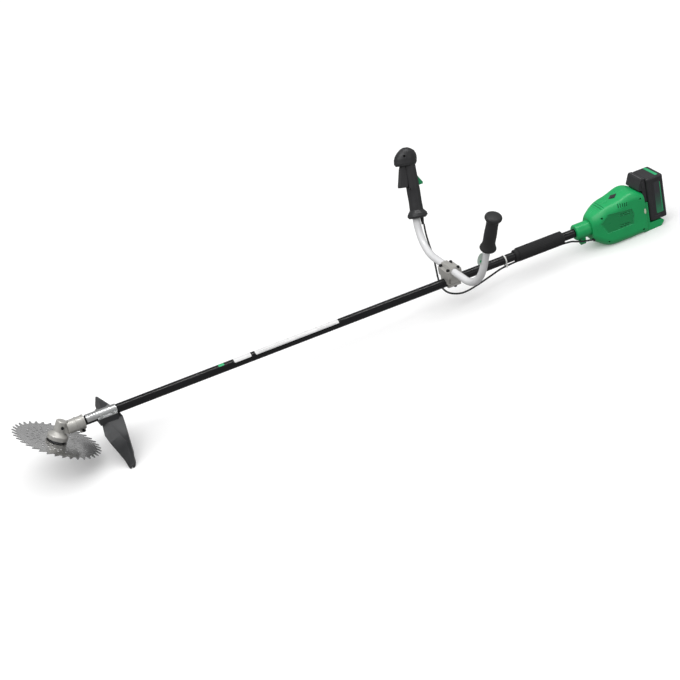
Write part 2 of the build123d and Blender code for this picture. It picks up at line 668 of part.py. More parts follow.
with BuildPart() as clamp_foot:
    with BuildSketch(across(HANDLE_AT - 16.0)):
        with BuildLine():
            Polyline(
                (-24.0, -0.4), (-24.0, -7.0), (-14.0, -13.0), (-8.0, -16.0), (8.0, -16.0), (14.0, -13.0),
                (24.0, -7.0), (24.0, -0.4), (-24.0, -0.4),
            )
        make_face()
    extrude(amount=32.0)
    with BuildSketch(across(HANDLE_AT - 40.0)):
        Circle(PIPE_RADIUS)
    extrude(amount=80.0, mode=Mode.SUBTRACT)
    fillet(clamp_foot.edges().filter_by(Axis.Z), 3.0)
    with BuildSketch(Plane.XY):
        with Locations(*PIPE_SCREWS):
            Circle(2.6)
    extrude(amount=-20.0, mode=Mode.SUBTRACT)
    for side in (-1, 1):
        with BuildSketch(Plane.XY.offset(-7.0)):
            with Locations((HANDLE_AT, side * 18.5)):
                Circle(4.6)
        extrude(amount=-12.0, mode=Mode.SUBTRACT)
keep(clamp_foot, "clamp_foot")

with BuildPart() as clamp_screws:
    for along, side in CLAMP_SCREWS:
        add(socket_screw(Plane(origin=(along, side, CLAMP_LUG_TOP)), 2.5, 20.0, 4.25, 5.0))
    for along, side in PIPE_SCREWS:
        under = Plane(origin=(along, side, -7.0), x_dir=(1, 0, 0), z_dir=(0, 0, -1))
        add(socket_screw(under, 2.5, 20.0, 4.25, 5.0))
keep(clamp_screws, "clamp_screws")

RISE_X = cos(radians(BAR_RISE))
RISE_Y = sin(radians(BAR_RISE))
GRIP_BAR_LENGTH = 235.0  # of the near, left-hand end, from the corner of the bar
TRIGGER_BAR_LENGTH = 160.0


def bar_point(side, along):
    """A point on the rising part of the handlebar, in the handle's plane."""
    return (side * (BAR_CORNER + RISE_X * along), RISE_Y * along)


with BuildPart() as handle_bar:
    with BuildLine(HANDLE) as bar_line:
        FilletPolyline(
            bar_point(-1, GRIP_BAR_LENGTH),
            bar_point(-1, 0),
            bar_point(1, 0),
            bar_point(1, TRIGGER_BAR_LENGTH),
            radius=BAR_BEND_RADIUS,
        )
    with BuildSketch(Plane(origin=bar_line.line @ 0, z_dir=bar_line.line % 0)):
        Circle(BAR_RADIUS)
        Circle(BAR_RADIUS - BAR_WALL, mode=Mode.SUBTRACT)
    sweep()
keep(handle_bar, "handle_bar")


def grip_plane(side, along):
    """Plane across one end of the handlebar: its normal runs up the grip and its x points forwards."""
    x, y = bar_point(side, along)
    up = HANDLE.x_dir * (side * RISE_X) + HANDLE.y_dir * RISE_Y
    return Plane(origin=HANDLE.origin + HANDLE.x_dir * x + HANDLE.y_dir * y, x_dir=-HANDLE.z_dir, z_dir=up)


# ---------------------------------------------------------------- left-hand grip
GRIP_FOOT = 131.0
GRIP_LENGTH = 112.0
LEFT = grip_plane(-1, GRIP_FOOT)
with BuildPart() as left_grip:
    with BuildSketch(Plane(origin=LEFT.origin, x_dir=LEFT.x_dir, z_dir=-LEFT.y_dir)):
        with BuildLine():
            Polyline(
                (BAR_RADIUS, 0), (18.0, 0), (22.5, 4.0), (22.5, 8.0), (18.0, 15.0), (16.0, 22.0),
                (17.2, 40.0), (16.2, 62.0), (16.6, 80.0), (16.0, 92.0), (18.5, 97.0), (22.5, 100.0),
                (23.0, 105.0), (20.0, 109.5), (12.0, GRIP_LENGTH), (0, GRIP_LENGTH),
                (0, GRIP_BAR_LENGTH - GRIP_FOOT),
                (BAR_RADIUS, GRIP_BAR_LENGTH - GRIP_FOOT), (BAR_RADIUS, 0),
            )
        make_face()
    revolve(axis=Axis(LEFT.origin, LEFT.z_dir))
keep(left_grip, "left_grip")

# ---------------------------------------------------------------- right-hand grip with the trigger
RIGHT = grip_plane(1, 0)
RIGHT_SIDE = Plane(origin=RIGHT.origin, x_dir=RIGHT.x_dir, z_dir=-RIGHT.y_dir)
# Oval cross-sections of the grip: height up the grip, rear, front and half the width. The last seven
# are its hooded head.
GRIP_SECTIONS = [
    (84.0, -28.0, 19.0, 22.0),
    (90.0, -34.0, 23.0, 27.0),
    (97.0, -32.0, 20.0, 25.0),
    (106.0, -24.0, 13.5, 18.5),
    (128.0, -23.5, 12.5, 17.5),
    (155.0, -24.0, 13.0, 18.0),
    (185.0, -23.5, 12.5, 18.0),
    (212.0, -22.5, 12.5, 18.0),
    (228.0, -22.5, 13.0, 18.0),
    (229.5, -25.0, 33.0, 20.0),
    (236.0, -29.0, 37.0, 21.5),
    (248.0, -31.0, 35.5, 22.0),
    (257.0, -30.0, 31.0, 21.5),
    (266.0, -26.0, 23.0, 18.5),
    (273.0, -17.0, 14.0, 13.5),
    (277.0, -8.0, 5.0, 6.0),
]
SLOT_HALF = 9.5
TRIGGER_PIVOT = (10.0, 238.0)
LOCK_PIVOT = (-10.5, 210.0)
PIN_RADIUS = 2.0
PIN_HALF = 12.5
GRIP_SCREWS = [(13.0, 255.5), (8.5, 164.5)]


def grip_body():
    """The whole outside of the right-hand grip before it is parted into two shells."""
    with BuildPart() as whole:
        for height, rear, front, half in GRIP_SECTIONS:
            with BuildSketch(RIGHT.offset(height)):
                with Locations(((rear + front) / 2, 0)):
                    Ellipse((front - rear) / 2, half)
        loft(ruled=True)
        # the bar's bore, the trigger's room and the lock lever's slot
        with BuildSketch(RIGHT.offset(60.0)):
            Circle(BAR_RADIUS)
        extrude(amount=TRIGGER_BAR_LENGTH - 60.0, mode=Mode.SUBTRACT)
        with BuildSketch(RIGHT_SIDE):
            Polygon((-8.0, 168.5), (45.0, 168.5), (45.0, 229.0), (24.0, 229.0), (24.0, 247.0), (2.0, 247.0),
                    (-8.0, 232.0), align=None)
        extrude(amount=SLOT_HALF, both=True, mode=Mode.SUBTRACT)
        with BuildSketch(RIGHT_SIDE):
            Polygon((-36.0, 168.5), (-7.0, 168.5), (-7.0, 216.0), (-36.0, 216.0), align=None)
        extrude(amount=5.5, both=True, mode=Mode.SUBTRACT)
        with BuildSketch(RIGHT_SIDE):
            with Locations(TRIGGER_PIVOT, LOCK_PIVOT):
                Circle(PIN_RADIUS)
        extrude(amount=PIN_HALF, both=True, mode=Mode.SUBTRACT)
        with BuildSketch(RIGHT_SIDE.offset(-11.5)):
            with Locations(*GRIP_SCREWS):
                Circle(3.0)
        extrude(amount=-15.0, mode=Mode.SUBTRACT)
        with BuildSketch(RIGHT_SIDE.offset(-11.6)):
            with Locations(*GRIP_SCREWS):
                Circle(1.5)
        extrude(amount=20.0, mode=Mode.SUBTRACT)
    return whole.part


whole_grip = grip_body()
with BuildPart() as grip_shell_inner:
    add(whole_grip)
    split(bisect_by=RIGHT_SIDE, keep=Keep.BOTTOM)
keep(grip_shell_inner, "grip_shell_inner")

with BuildPart() as grip_shell_outer:
    add(whole_grip)
    split(bisect_by=RIGHT_SIDE, keep=Keep.TOP)
keep(grip_shell_outer, "grip_shell_outer")

with BuildPart() as trigger:
    with BuildSketch(RIGHT_SIDE):
        with BuildLine():
            Polyline(
                (5.5, 238.0), (5.5, 226.0), (8.0, 205.0), (12.0, 172.0), (15.0, 170.5), (34.0, 171.5),
                (34.8, 174.5), (31.0, 190.0), (23.5, 220.0), (16.0, 238.0), (13.0, 242.5), (8.0, 242.5),
                (5.5, 238.0),
            )
        make_face()
        with Locations(TRIGGER_PIVOT):
            Circle(PIN_RADIUS + RUNNING_GAP, mode=Mode.SUBTRACT)
    extrude(amount=SLOT_HALF - 0.8, both=True)
keep(trigger, "trigger")

with BuildPart() as lock_lever:
    with BuildSketch(RIGHT_SIDE):
        with BuildLine():
            Polyline(
                (-7.6, 210.0), (-8.5, 213.0), (-12.5, 213.5), (-15.0, 208.0), (-36.0, 177.0), (-35.0, 172.8),
                (-21.0, 171.0), (-9.5, 203.0), (-7.6, 210.0),
            )
        make_face()
        with Locations(LOCK_PIVOT):
            Circle(PIN_RADIUS - 0.5 + RUNNING_GAP, mode=Mode.SUBTRACT)
    extrude(amount=4.7, both=True)
keep(lock_lever, "lock_lever")

with BuildPart() as grip_pins:
    with BuildSketch(RIGHT_SIDE.offset(-PIN_HALF)):
        with Locations(TRIGGER_PIVOT):
            Circle(PIN_RADIUS)
    extrude(amount=2 * PIN_HALF)
    for level in (-PIN_HALF, 5.6):
        with BuildSketch(RIGHT_SIDE.offset(level)):
            with Locations(LOCK_PIVOT):
                Circle(PIN_RADIUS)
        extrude(amount=PIN_HALF - 5.6)
    with BuildSketch(RIGHT_SIDE.offset(-5.6)):
        with Locations(LOCK_PIVOT):
            Circle(PIN_RADIUS - 0.5)
    extrude(amount=11.2)
keep(grip_pins, "grip_pins")

with BuildPart() as trigger_switch:
    with BuildSketch(RIGHT_SIDE):
        Polygon((-6.5, 184.0), (0.4, 184.0), (0.4, 198.0), (-6.5, 198.0), align=None)
    extrude(amount=SLOT_HALF, both=True)
keep(trigger_switch, "trigger_switch")

# ---------------------------------------------------------------- control cable and what holds it
BOOT_BACK = -17.0
BOOT_END = 64.0
cable_start = RIGHT.origin + RIGHT.x_dir * BOOT_BACK + RIGHT.z_dir * BOOT_END
with BuildPart() as cable_boot:
    with BuildSketch(Plane(origin=cable_start, x_dir=RIGHT.x_dir, z_dir=RIGHT.z_dir)):
        Circle(3.4)
    with BuildSketch(Plane(origin=cable_start + RIGHT.z_dir * 19.0, x_dir=RIGHT.x_dir, z_dir=RIGHT.z_dir)):
        Circle(5.2)
    loft()
    with BuildSketch(RIGHT.offset(50.0)):
        Circle(BAR_RADIUS + 0.3)
    extrude(amount=40.0, mode=Mode.SUBTRACT)
keep(cable_boot, "cable_boot")

UNDER_PIPE = -PIPE_RADIUS - CABLE_RADIUS - 0.7
GLAND_PLACE = (1541.0, -20.0, -30.0)
GLAND_RADIUS = 4.0
GLAND_FLANGE_RADIUS = 5.6
GLAND_FLANGE = 1.6
CABLE_ROUTE = [
    tuple(cable_start),
    (1139.7, 179.5, 69.0),
    (1134.0, 155.0, 42.0),
    (1126.0, 121.0, 18.0),
    (1112.0, 86.0, 3.0),
    (1097.0, 50.0, -7.0),
    (1088.0, 18.0, -18.0),
    (1092.0, -8.0, -27.0),
    (1112.0, -20.0, -34.0),
    (1140.0, -18.0, -40.0),
    (1185.0, -10.0, -36.0),
    (1230.0, -5.0, -27.0),
    (1274.0, -4.0, UNDER_PIPE),
    (1470.0, -4.0, UNDER_PIPE),
    (1494.0, -14.0, -22.0),
    (1520.0, -19.0, -27.0),
    GLAND_PLACE,
]
route = [Vector(*point) for point in CABLE_ROUTE]
cable_radii = []
for before, corner, after in zip(route, route[1:], route[2:]):
    turn = (corner - before).get_angle(after - corner)
    shorter = min((corner - before).length, (after - corner).length)
    cable_radii.append(0.45 * shorter / tan(radians(turn / 2)))
print("cable radii", [round(radius) for radius in cable_radii])

with BuildPart() as control_cable:
    with BuildLine() as cable_line:
        FilletPolyline(*route, radius=cable_radii)
    with BuildSketch(Plane(origin=cable_line.line @ 0, z_dir=cable_line.line % 0)):
        Circle(CABLE_RADIUS)
    sweep()
cable_length = sum(edge.length for edge in cable_line.edges())
volume_share = control_cable.part.volume / (pi * CABLE_RADIUS**2 * cable_length)
print("cable length", round(cable_length, 1), "volume against section by length", round(volume_share, 4))
keep(control_cable, "control_cable")

TIE_FRONT = 1276.0
TIE_SLACK = 0.9  # the cable is still rising to the pipe where the tie holds it
with BuildPart() as cable_tie:
    with BuildSketch(across(TIE_FRONT)):
        Circle(PIPE_RADIUS + 1.5)
        with Locations((-4.0, UNDER_PIPE - TIE_SLACK)):
            Circle(CABLE_RADIUS + 1.9)
        make_hull()
    extrude(amount=3.6)
    with BuildSketch(across(TIE_FRONT)):
        Circle(PIPE_RADIUS + 0.1)
        with Locations((-4.0, UNDER_PIPE - TIE_SLACK)):
            Circle(CABLE_RADIUS + 0.6)
        make_hull()
    extrude(amount=3.6, mode=Mode.SUBTRACT)
    with BuildSketch(Plane.XY.offset(UNDER_PIPE - 3.0)):
        with Locations((1277.8, -11.0)):
            Rectangle(4.6, 4.6)
    extrude(amount=5.0)
keep(cable_tie, "cable_tie")

SLEEVE_RADIUS = 19.0
SLEEVE_STEP = 2.5
RIB_COUNT = 30
with BuildPart() as foam_sleeve:
    with BuildSketch(across(SLEEVE_FRONT)):
        Circle(SLEEVE_RADIUS - SLEEVE_STEP)
    extrude(amount=SLEEVE_REAR - SLEEVE_FRONT)
    fillet(foam_sleeve.edges(), 2.0)
    # the ribbed body, with grooves along it
    with BuildSketch(across(SLEEVE_FRONT + 11.0)):
        Circle(SLEEVE_RADIUS)
        with PolarLocations(SLEEVE_RADIUS + 0.5, RIB_COUNT):
            Circle(1.2, mode=Mode.SUBTRACT)
    extrude(amount=SLEEVE_REAR - SLEEVE_FRONT - 13.0)
    with BuildSketch(across(SLEEVE_FRONT)):
        Circle(PIPE_RADIUS)
        with Locations((-4.0, UNDER_PIPE)):
            Circle(CABLE_RADIUS + 0.2)
        make_hull()
    extrude(amount=SLEEVE_REAR - SLEEVE_FRONT, mode=Mode.SUBTRACT)
keep(foam_sleeve, "foam_sleeve")

# ---------------------------------------------------------------- collar with the harness eye
COLLAR_RADIUS = 22.0
EYE_RADIUS = 6.0
EYE_DROP = 29.0
EYE_FRONT = 1511.0
EYE_THICKNESS = 12.0
with BuildPart() as collar:
    with BuildSketch(across(COLLAR_FRONT)):
        Circle(COLLAR_RADIUS)
    extrude(amount=HOUSING_FRONT - COLLAR_FRONT)
    fillet(collar.edges().group_by(Axis.X)[0], 4.0)
    with BuildSketch(across(EYE_FRONT)):
        with Locations((0, -EYE_DROP)):
            Circle(12.0)
        with Locations((0, -EYE_DROP / 2)):
            Rectangle(24.0, EYE_DROP)
    extrude(amount=EYE_THICKNESS)
    with BuildSketch(across(COLLAR_FRONT)):
        Circle(PIPE_RADIUS)
        with Locations((0, -EYE_DROP)):
            Circle(EYE_RADIUS)
    extrude(amount=60.0, mode=Mode.SUBTRACT)
keep(collar, "collar")

# ---------------------------------------------------------------- motor housing
# Cross-sections of the housing: distance along, half the width, top and corner radius. From the
# third one on, its underside is flat on the ground.
HOUSING_SECTIONS = [
    (1540.0, 27.0, 29.0, -33.0, 24.0),
    (1550.0, 34.0, 38.0, -42.0, 26.0),
    (1568.0, 40.0, 48.0, -54.0, 26.0),
    (1595.0, 43.5, 57.0, ground(1595.0) - 1.5, 24.0),
    (1625.0, 45.0, 62.0, ground(1625.0) - 1.5, 22.0),
    (1642.0, 45.0, 67.5, ground(1642.0) - 1.5, 21.0),
    (1660.0, 45.0, 72.0, ground(1660.0) - 1.5, 21.0),
    (1684.0, 45.0, 67.0, ground(1684.0) - 1.5, 20.0),
    (1699.0, 44.0, 58.0, ground(1699.0) - 1.5, 18.0),
]
SWITCH_SLOPE = degrees(atan2(67.5 - 62.0, 1642.0 - 1625.0))
SWITCH_PLACE = Plane(
    origin=(1626.0, 0, 62.6),
    x_dir=(cos(radians(SWITCH_SLOPE)), 0, sin(radians(SWITCH_SLOPE))),
    z_dir=(-sin(radians(SWITCH_SLOPE)), 0, cos(radians(SWITCH_SLOPE))),
)
SHELL = 3.0
PANEL_DEPTH = 1.3
TAIL_REAR = 1757.0
SADDLE_TOP = 27.0
BATTERY_FRONT = 1714.0
# Each housing screw: its place along and up, and how far its boss reaches to each side.
HOUSING_SCREWS = [(1578.0, -43.0, 37.0), (1686.0, -43.0, 43.0), (1686.0, 49.0, 43.0), (1566.0, 30.0, 34.5)]
SCREW_SEAT = 10.0


def housing_block(inset):
    """The housing's rounded body, drawn in by a distance all round."""
    with BuildPart() as block:
        for along, half, top, bottom, corner in HOUSING_SECTIONS:
            shift = 0.0
            if along == HOUSING_SECTIONS[0][0]:
                shift = inset
            if along == HOUSING_SECTIONS[-1][0]:
                shift = -inset
            with BuildSketch(across(along + shift)):
                with Locations((0, (top + bottom) / 2)):
                    RectangleRounded(2 * (half - inset), top - bottom - 2 * inset, corner - inset)
        loft()
    return block.part


def slots(first, last, count, width, height, slant):
    """A row of ventilation slots seen from the side, as (along, up) places."""
    places = []
    for number in range(count):
        share = number / (count - 1)
        places.append((first[0] + (last[0] - first[0]) * share, first[1] + (last[1] - first[1]) * share))
    with BuildSketch(Plane.XZ) as row:
        with Locations(*places):
            SlotOverall(height, width, rotation=slant)
    return row.sketch


housing_outside = housing_block(0.0)
housing_skin = housing_block(PANEL_DEPTH)
housing_room = housing_block(SHELL)

with BuildPart() as panel_prism:
    with BuildSketch(Plane.XZ):
        Polygon(
            (1583.0, 37.0), (1654.0, 31.0), (1660.0, 15.0), (1655.0, -15.0), (1576.0, -17.0), (1560.0, 14.0),
            align=None,
        )
    extrude(amount=80.0, both=True)

with BuildPart() as housing_whole:
    add(housing_outside)
    # the lower rear, behind the terminals, and the tail under the battery
    with BuildSketch(Plane.XZ):
        with BuildLine():
            Polyline(
                (1690.0, SADDLE_TOP), (1711.0, SADDLE_TOP), (1711.0, -35.5), (TAIL_REAR - 8.0, -35.5),
                (TAIL_REAR, -42.0), (TAIL_REAR - 12.0, ground(1740.0)), (1690.0, ground(1690.0) - 1.5),
                (1690.0, SADDLE_TOP),
            )
        make_face()
    extrude(amount=37.0, both=True)
    fillet(housing_whole.edges().filter_by(Axis.Y).group_by(Axis.X)[-1], 4.0)
    # the flat foot
    with BuildSketch(Plane.XZ):
        Polygon(
            (1500.0, ground(1500.0)), (1800.0, ground(1800.0)), (1800.0, -120.0), (1500.0, -120.0), align=None
        )
    extrude(amount=80.0, both=True, mode=Mode.SUBTRACT)
    add(housing_room, mode=Mode.SUBTRACT)
    # the terminals' room in the lower rear
    with BuildSketch(Plane.XZ):
        with Locations((1699.0, (SADDLE_TOP - SHELL - 32.0) / 2)):
            Rectangle(14.0, SADDLE_TOP - SHELL + 32.0)
    extrude(amount=30.0, both=True, mode=Mode.SUBTRACT)
    # bosses across the inside for the housing's screws, with deep holes for the heads
    for along, up, reach in HOUSING_SCREWS:
        with BuildSketch(Plane.XZ):
            with Locations((along, up)):
                Circle(5.0)
        extrude(amount=reach, both=True)
    screw_places = [(along, up) for along, up, reach in HOUSING_SCREWS]
    with BuildSketch(Plane.XZ.offset(SCREW_SEAT)):
        with Locations(*screw_places):
            Circle(3.0)
    extrude(amount=60.0, mode=Mode.SUBTRACT)
    with BuildSketch(Plane.XZ.offset(SCREW_SEAT)):
        with Locations(*screw_places):
            Circle(1.5)
    extrude(amount=-20.0, mode=Mode.SUBTRACT)
    # sunk side panels
    add(panel_prism.part - housing_skin, mode=Mode.SUBTRACT)
    # the bores for the pipe and for the cable's gland
    with BuildSketch(across(HOUSING_FRONT - 10.0)):
        Circle(PIPE_RADIUS)
    extrude(amount=40.0, mode=Mode.SUBTRACT)
    with BuildSketch(across(HOUSING_FRONT - 10.0)):
        with Locations((GLAND_PLACE[1], GLAND_PLACE[2])):
            Circle(GLAND_RADIUS)
    extrude(amount=25.0, mode=Mode.SUBTRACT)
    with BuildSketch(across(HOUSING_FRONT - 10.0)):
        with Locations((GLAND_PLACE[1], GLAND_PLACE[2])):
            Circle(GLAND_FLANGE_RADIUS)
    extrude(amount=GLAND_PLACE[0] + GLAND_FLANGE - HOUSING_FRONT + 10.0, mode=Mode.SUBTRACT)
    # ventilation slots on both sides
    for row in (
        slots((1550.0, 45.0), (1583.0, 56.0), 6, 2.0, 11.0, 62.0),
        slots((1618.0, 50.0), (1642.0, 49.0), 5, 2.4, 11.0, 78.0),
    ):
        with BuildSketch(Plane.XZ):
            add(row)
        extrude(amount=80.0, both=True, mode=Mode.SUBTRACT)
    with BuildSketch(Plane.XZ):
        with Locations((1634.0, 25.0), (1634.0, 19.5), (1630.0, -6.0), (1630.0, -11.5)):
            SlotOverall(34.0, 1.6, rotation=-4)
    extrude(amount=80.0, both=True, mode=Mode.SUBTRACT)
    # the opening for the switch panel
    with BuildSketch(SWITCH_PLACE.offset(-15.0)):
        Polygon((-14.0, 0.0), (0.0, 10.8), (14.0, 0.0), (0.0, -10.8), align=None)
    extrude(amount=40.0, mode=Mode.SUBTRACT)

with BuildPart() as housing_left:
    add(housing_whole.part)
    split(bisect_by=Plane.XZ, keep=Keep.TOP)
keep(housing_left, "housing_left")

with BuildPart() as housing_right:
    add(housing_whole.part)
    split(bisect_by=Plane.XZ, keep=Keep.BOTTOM)
keep(housing_right, "housing_right")

BUTTON_RADIUS = 4.5
with BuildPart() as switch_panel:
    with BuildSketch(SWITCH_PLACE.offset(-3.5)):
        Polygon((-13.6, 0.0), (0.0, 10.5), (13.6, 0.0), (0.0, -10.5), align=None)
        Circle(BUTTON_RADIUS + 0.3, mode=Mode.SUBTRACT)
    extrude(amount=4.3)
keep(switch_panel, "switch_panel")

with BuildPart() as power_button:
    with BuildSketch(SWITCH_PLACE.offset(-4.0)):
        Circle(BUTTON_RADIUS)
    extrude(amount=5.8)
    fillet(power_button.edges().group_by(Axis(SWITCH_PLACE.origin, SWITCH_PLACE.z_dir))[-1], 0.8)
keep(power_button, "power_button")

with BuildPart() as cable_gland:
    with BuildSketch(across(GLAND_PLACE[0])):
        with Locations((GLAND_PLACE[1], GLAND_PLACE[2])):
            Circle(GLAND_RADIUS)
    extrude(amount=14.0)
    with BuildSketch(across(GLAND_PLACE[0])):
        with Locations((GLAND_PLACE[1], GLAND_PLACE[2])):
            Circle(GLAND_FLANGE_RADIUS)
    extrude(amount=GLAND_FLANGE)
keep(cable_gland, "cable_gland")

# ---------------------------------------------------------------- motor inside the housing
MOTOR_RADIUS = 30.0
ROTOR_RADIUS = 16.0
STATOR_FRONT = 1606.0
STATOR_LENGTH = 30.0
MOTOR_SHAFT_RADIUS = 4.0
PLATE_RADIUS = 36.0
FRONT_PLATE = 1590.0
REAR_PLATE = 1652.0
POLES = 12

with BuildPart() as shaft_coupling:
    with BuildSketch(across(1556.0)):
        Circle(9.0)
    extrude(amount=27.0)
    chamfer(shaft_coupling.edges(), 1.0)
    with BuildSketch(across(1550.0)):
        Circle(SHAFT_RADIUS)
    extrude(amount=MOTOR_FRONT - 1550.0, mode=Mode.SUBTRACT)
    with BuildSketch(across(MOTOR_FRONT)):
        Circle(MOTOR_SHAFT_RADIUS)
    extrude(amount=40.0, mode=Mode.SUBTRACT)
keep(shaft_coupling, "shaft_coupling")

with BuildPart() as rotor:
    with BuildSketch(across(MOTOR_FRONT)):
        Circle(MOTOR_SHAFT_RADIUS)
    extrude(amount=REAR_PLATE + 8.0 - MOTOR_FRONT)
    with BuildSketch(across(STATOR_FRONT - 1.0)):
        Circle(ROTOR_RADIUS)
        with PolarLocations(ROTOR_RADIUS - 1.0, 4):
            Rectangle(3.0, 1.2, mode=Mode.SUBTRACT)
    extrude(amount=STATOR_LENGTH + 2.0)
keep(rotor, "rotor")

with BuildPart() as stator:
    with BuildSketch(across(STATOR_FRONT)):
        Circle(MOTOR_RADIUS)
        Circle(ROTOR_RADIUS + 0.4, mode=Mode.SUBTRACT)
        with PolarLocations(22.0, POLES):
            SlotOverall(8.0, 4.0, mode=Mode.SUBTRACT)
    extrude(amount=STATOR_LENGTH)
keep(stator, "stator")

with BuildPart() as windings:
    for end in (STATOR_FRONT - 4.0, STATOR_FRONT + STATOR_LENGTH):
        with BuildSketch(across(end)):
            with PolarLocations(22.0, POLES, start_angle=180 / POLES):
                SlotOverall(8.5, 5.5)
        extrude(amount=4.0)
keep(windings, "windings")

with BuildPart() as cooling_fan:
    with BuildSketch(across(REAR_PLATE - 8.0)):
        Circle(8.0)
        Circle(MOTOR_SHAFT_RADIUS, mode=Mode.SUBTRACT)
    extrude(amount=6.0)
    with BuildSketch(across(REAR_PLATE - 8.0)):
        Circle(28.0)
        Circle(7.9, mode=Mode.SUBTRACT)
    extrude(amount=1.2)
    for number in range(11):
        with BuildSketch(turned(across(REAR_PLATE - 6.9), 360 / 11 * number)):
            with Locations((17.5, 0)):
                Rectangle(20.0, 1.2, rotation=18)
        extrude(amount=4.5)
keep(cooling_fan, "cooling_fan")

with BuildPart() as motor_plates:
    for place, depth in ((FRONT_PLATE, 4.0), (REAR_PLATE, 4.0)):
        with BuildSketch(across(place)):
            Circle(PLATE_RADIUS)
            Circle(9.5, mode=Mode.SUBTRACT)
            with PolarLocations(22.0, 6):
                Circle(5.5, mode=Mode.SUBTRACT)
        extrude(amount=depth)
keep(motor_plates, "motor_plates")

with BuildPart() as motor_bearings:
    for place in (FRONT_PLATE - 0.5, REAR_PLATE - 0.5):
        add(bearing(across(place), 9.5, MOTOR_SHAFT_RADIUS + RUNNING_GAP, 5.0))
keep(motor_bearings, "motor_bearings")

with BuildPart() as controller:
    with BuildSketch(Plane.XY.offset(-50.0)):
        with Locations((1640.0, 0)):
            Rectangle(60.0, 56.0)
    extrude(amount=2.0)
    with BuildSketch(Plane.XY.offset(-48.0)):
        with Locations((1622.0, -14.0), (1622.0, 14.0), (1640.0, -14.0), (1640.0, 14.0), (1658.0, 0.0)):
            Rectangle(12.0, 12.0)
    extrude(amount=7.0)
keep(controller, "controller")

# The same screws close the housing and the right-hand grip.
with BuildPart() as shell_screws:
    for forward, height in GRIP_SCREWS:
        seat = RIGHT_SIDE.offset(-11.5)
        under_head = seat.origin + seat.x_dir * forward + seat.y_dir * height
        outwards = Plane(origin=under_head, x_dir=seat.x_dir, z_dir=-seat.z_dir)
        add(socket_screw(outwards, 1.5, 18.0, 2.9, 2.4))
    for along, up in screw_places:
        seat = Plane(origin=(along, -SCREW_SEAT, up), x_dir=(1, 0, 0), z_dir=(0, -1, 0))
        add(socket_screw(seat, 1.5, 18.0, 2.9, 2.4))
keep(shell_screws, "shell_screws")

# ---------------------------------------------------------------- battery and its terminals
BATTERY_REAR = 1768.0
BATTERY_HALF = 38.0
BATTERY_FOOT = -32.0
BATTERY_TOP = 94.0
NECK_FRONT = 1701.0
NECK_FOOT = 29.0
LATCH_HALF = 32.0
CASE_WALL = 2.0
BLADES = (-13.5, -4.5, 4.5, 13.5)

with BuildPart() as terminal_block:
    with BuildSketch(Plane.XY.offset(-8.0)):
        with Locations((1699.5, 0)):
            Rectangle(12.0, 44.0)
    extrude(amount=SADDLE_TOP - 3.2 + 8.0)
keep(terminal_block, "terminal_block")

with BuildPart() as battery_case:
    with BuildSketch(Plane.XY.offset(BATTERY_FOOT)):
        with Locations(((BATTERY_FRONT + BATTERY_REAR) / 2, 0)):
            RectangleRounded(BATTERY_REAR - BATTERY_FRONT, 2 * BATTERY_HALF, 8.0)
    extrude(amount=BATTERY_TOP - BATTERY_FOOT)
    fillet(battery_case.edges().group_by(Axis.Z)[-1], 6.0)
    fillet(battery_case.edges().group_by(Axis.Z)[0], 3.0)
    with BuildSketch(Plane.XY.offset(BATTERY_FOOT + CASE_WALL)):
        with Locations(((BATTERY_FRONT + BATTERY_REAR) / 2, 0)):
            RectangleRounded(
                BATTERY_REAR - BATTERY_FRONT - 2 * CASE_WALL, 2 * (BATTERY_HALF - CASE_WALL), 6.0
            )
    extrude(amount=BATTERY_TOP - BATTERY_FOOT - 2 * CASE_WALL - 1.0, mode=Mode.SUBTRACT)
    # sunk side panels with a raised rib round them
    for side in (-1, 1):
        with BuildSketch(Plane.XZ.offset(-side * BATTERY_HALF)):
            with Locations(((BATTERY_FRONT + BATTERY_REAR) / 2 + 2.0, (BATTERY_FOOT + BATTERY_TOP) / 2)):
                RectangleRounded(34.0, 104.0, 5.0)
        extrude(amount=side * 1.0, mode=Mode.SUBTRACT)
keep(battery_case, "battery_case")

with BuildPart() as battery_neck:
    with BuildSketch(Plane.XZ):
        with BuildLine():
            Polyline(
                (NECK_FRONT, NECK_FOOT), (BATTERY_FRONT, NECK_FOOT), (BATTERY_FRONT, 95.5), (1703.0, 97.0),
                (1700.0, 94.0), (1689.5, 68.0), (1690.5, 65.3), (NECK_FRONT, 63.0), (NECK_FRONT, NECK_FOOT),
            )
        make_face()
    extrude(amount=LATCH_HALF, both=True)
    fillet(battery_neck.edges().filter_by(Axis.Z), 2.0)
    for side in (-1, 1):
        with BuildSketch(Plane.XZ.offset(-side * LATCH_HALF)):
            with Locations((1706.0, 80.0)):
                RectangleRounded(10.4, 18.4, 2.0)
        extrude(amount=side * 6.0, mode=Mode.SUBTRACT)
    for place in BLADES:
        with BuildSketch(Plane.XY.offset(NECK_FOOT)):
            with Locations((1707.0, place)):
                Rectangle(10.0, 2.0)
        extrude(amount=18.0, mode=Mode.SUBTRACT)
keep(battery_neck, "battery_neck")

with BuildPart() as terminal_blades:
    for place in BLADES:
        with BuildSketch(Plane.XY.offset(SADDLE_TOP)):
            with Locations((1707.0, place)):
                Rectangle(7.5, 0.9)
        extrude(amount=17.0)
keep(terminal_blades, "terminal_blades")

CELL_RADIUS = 9.2
with BuildPart() as battery_cells:
    for column in (0, 1):
        for row in range(5):
            with BuildSketch(Plane.XZ):
                with Locations((1731.5 + column * 19.0, -16.0 + row * 22.0)):
                    Circle(CELL_RADIUS)
            extrude(amount=33.0, both=True)
keep(battery_cells, "battery_cells")

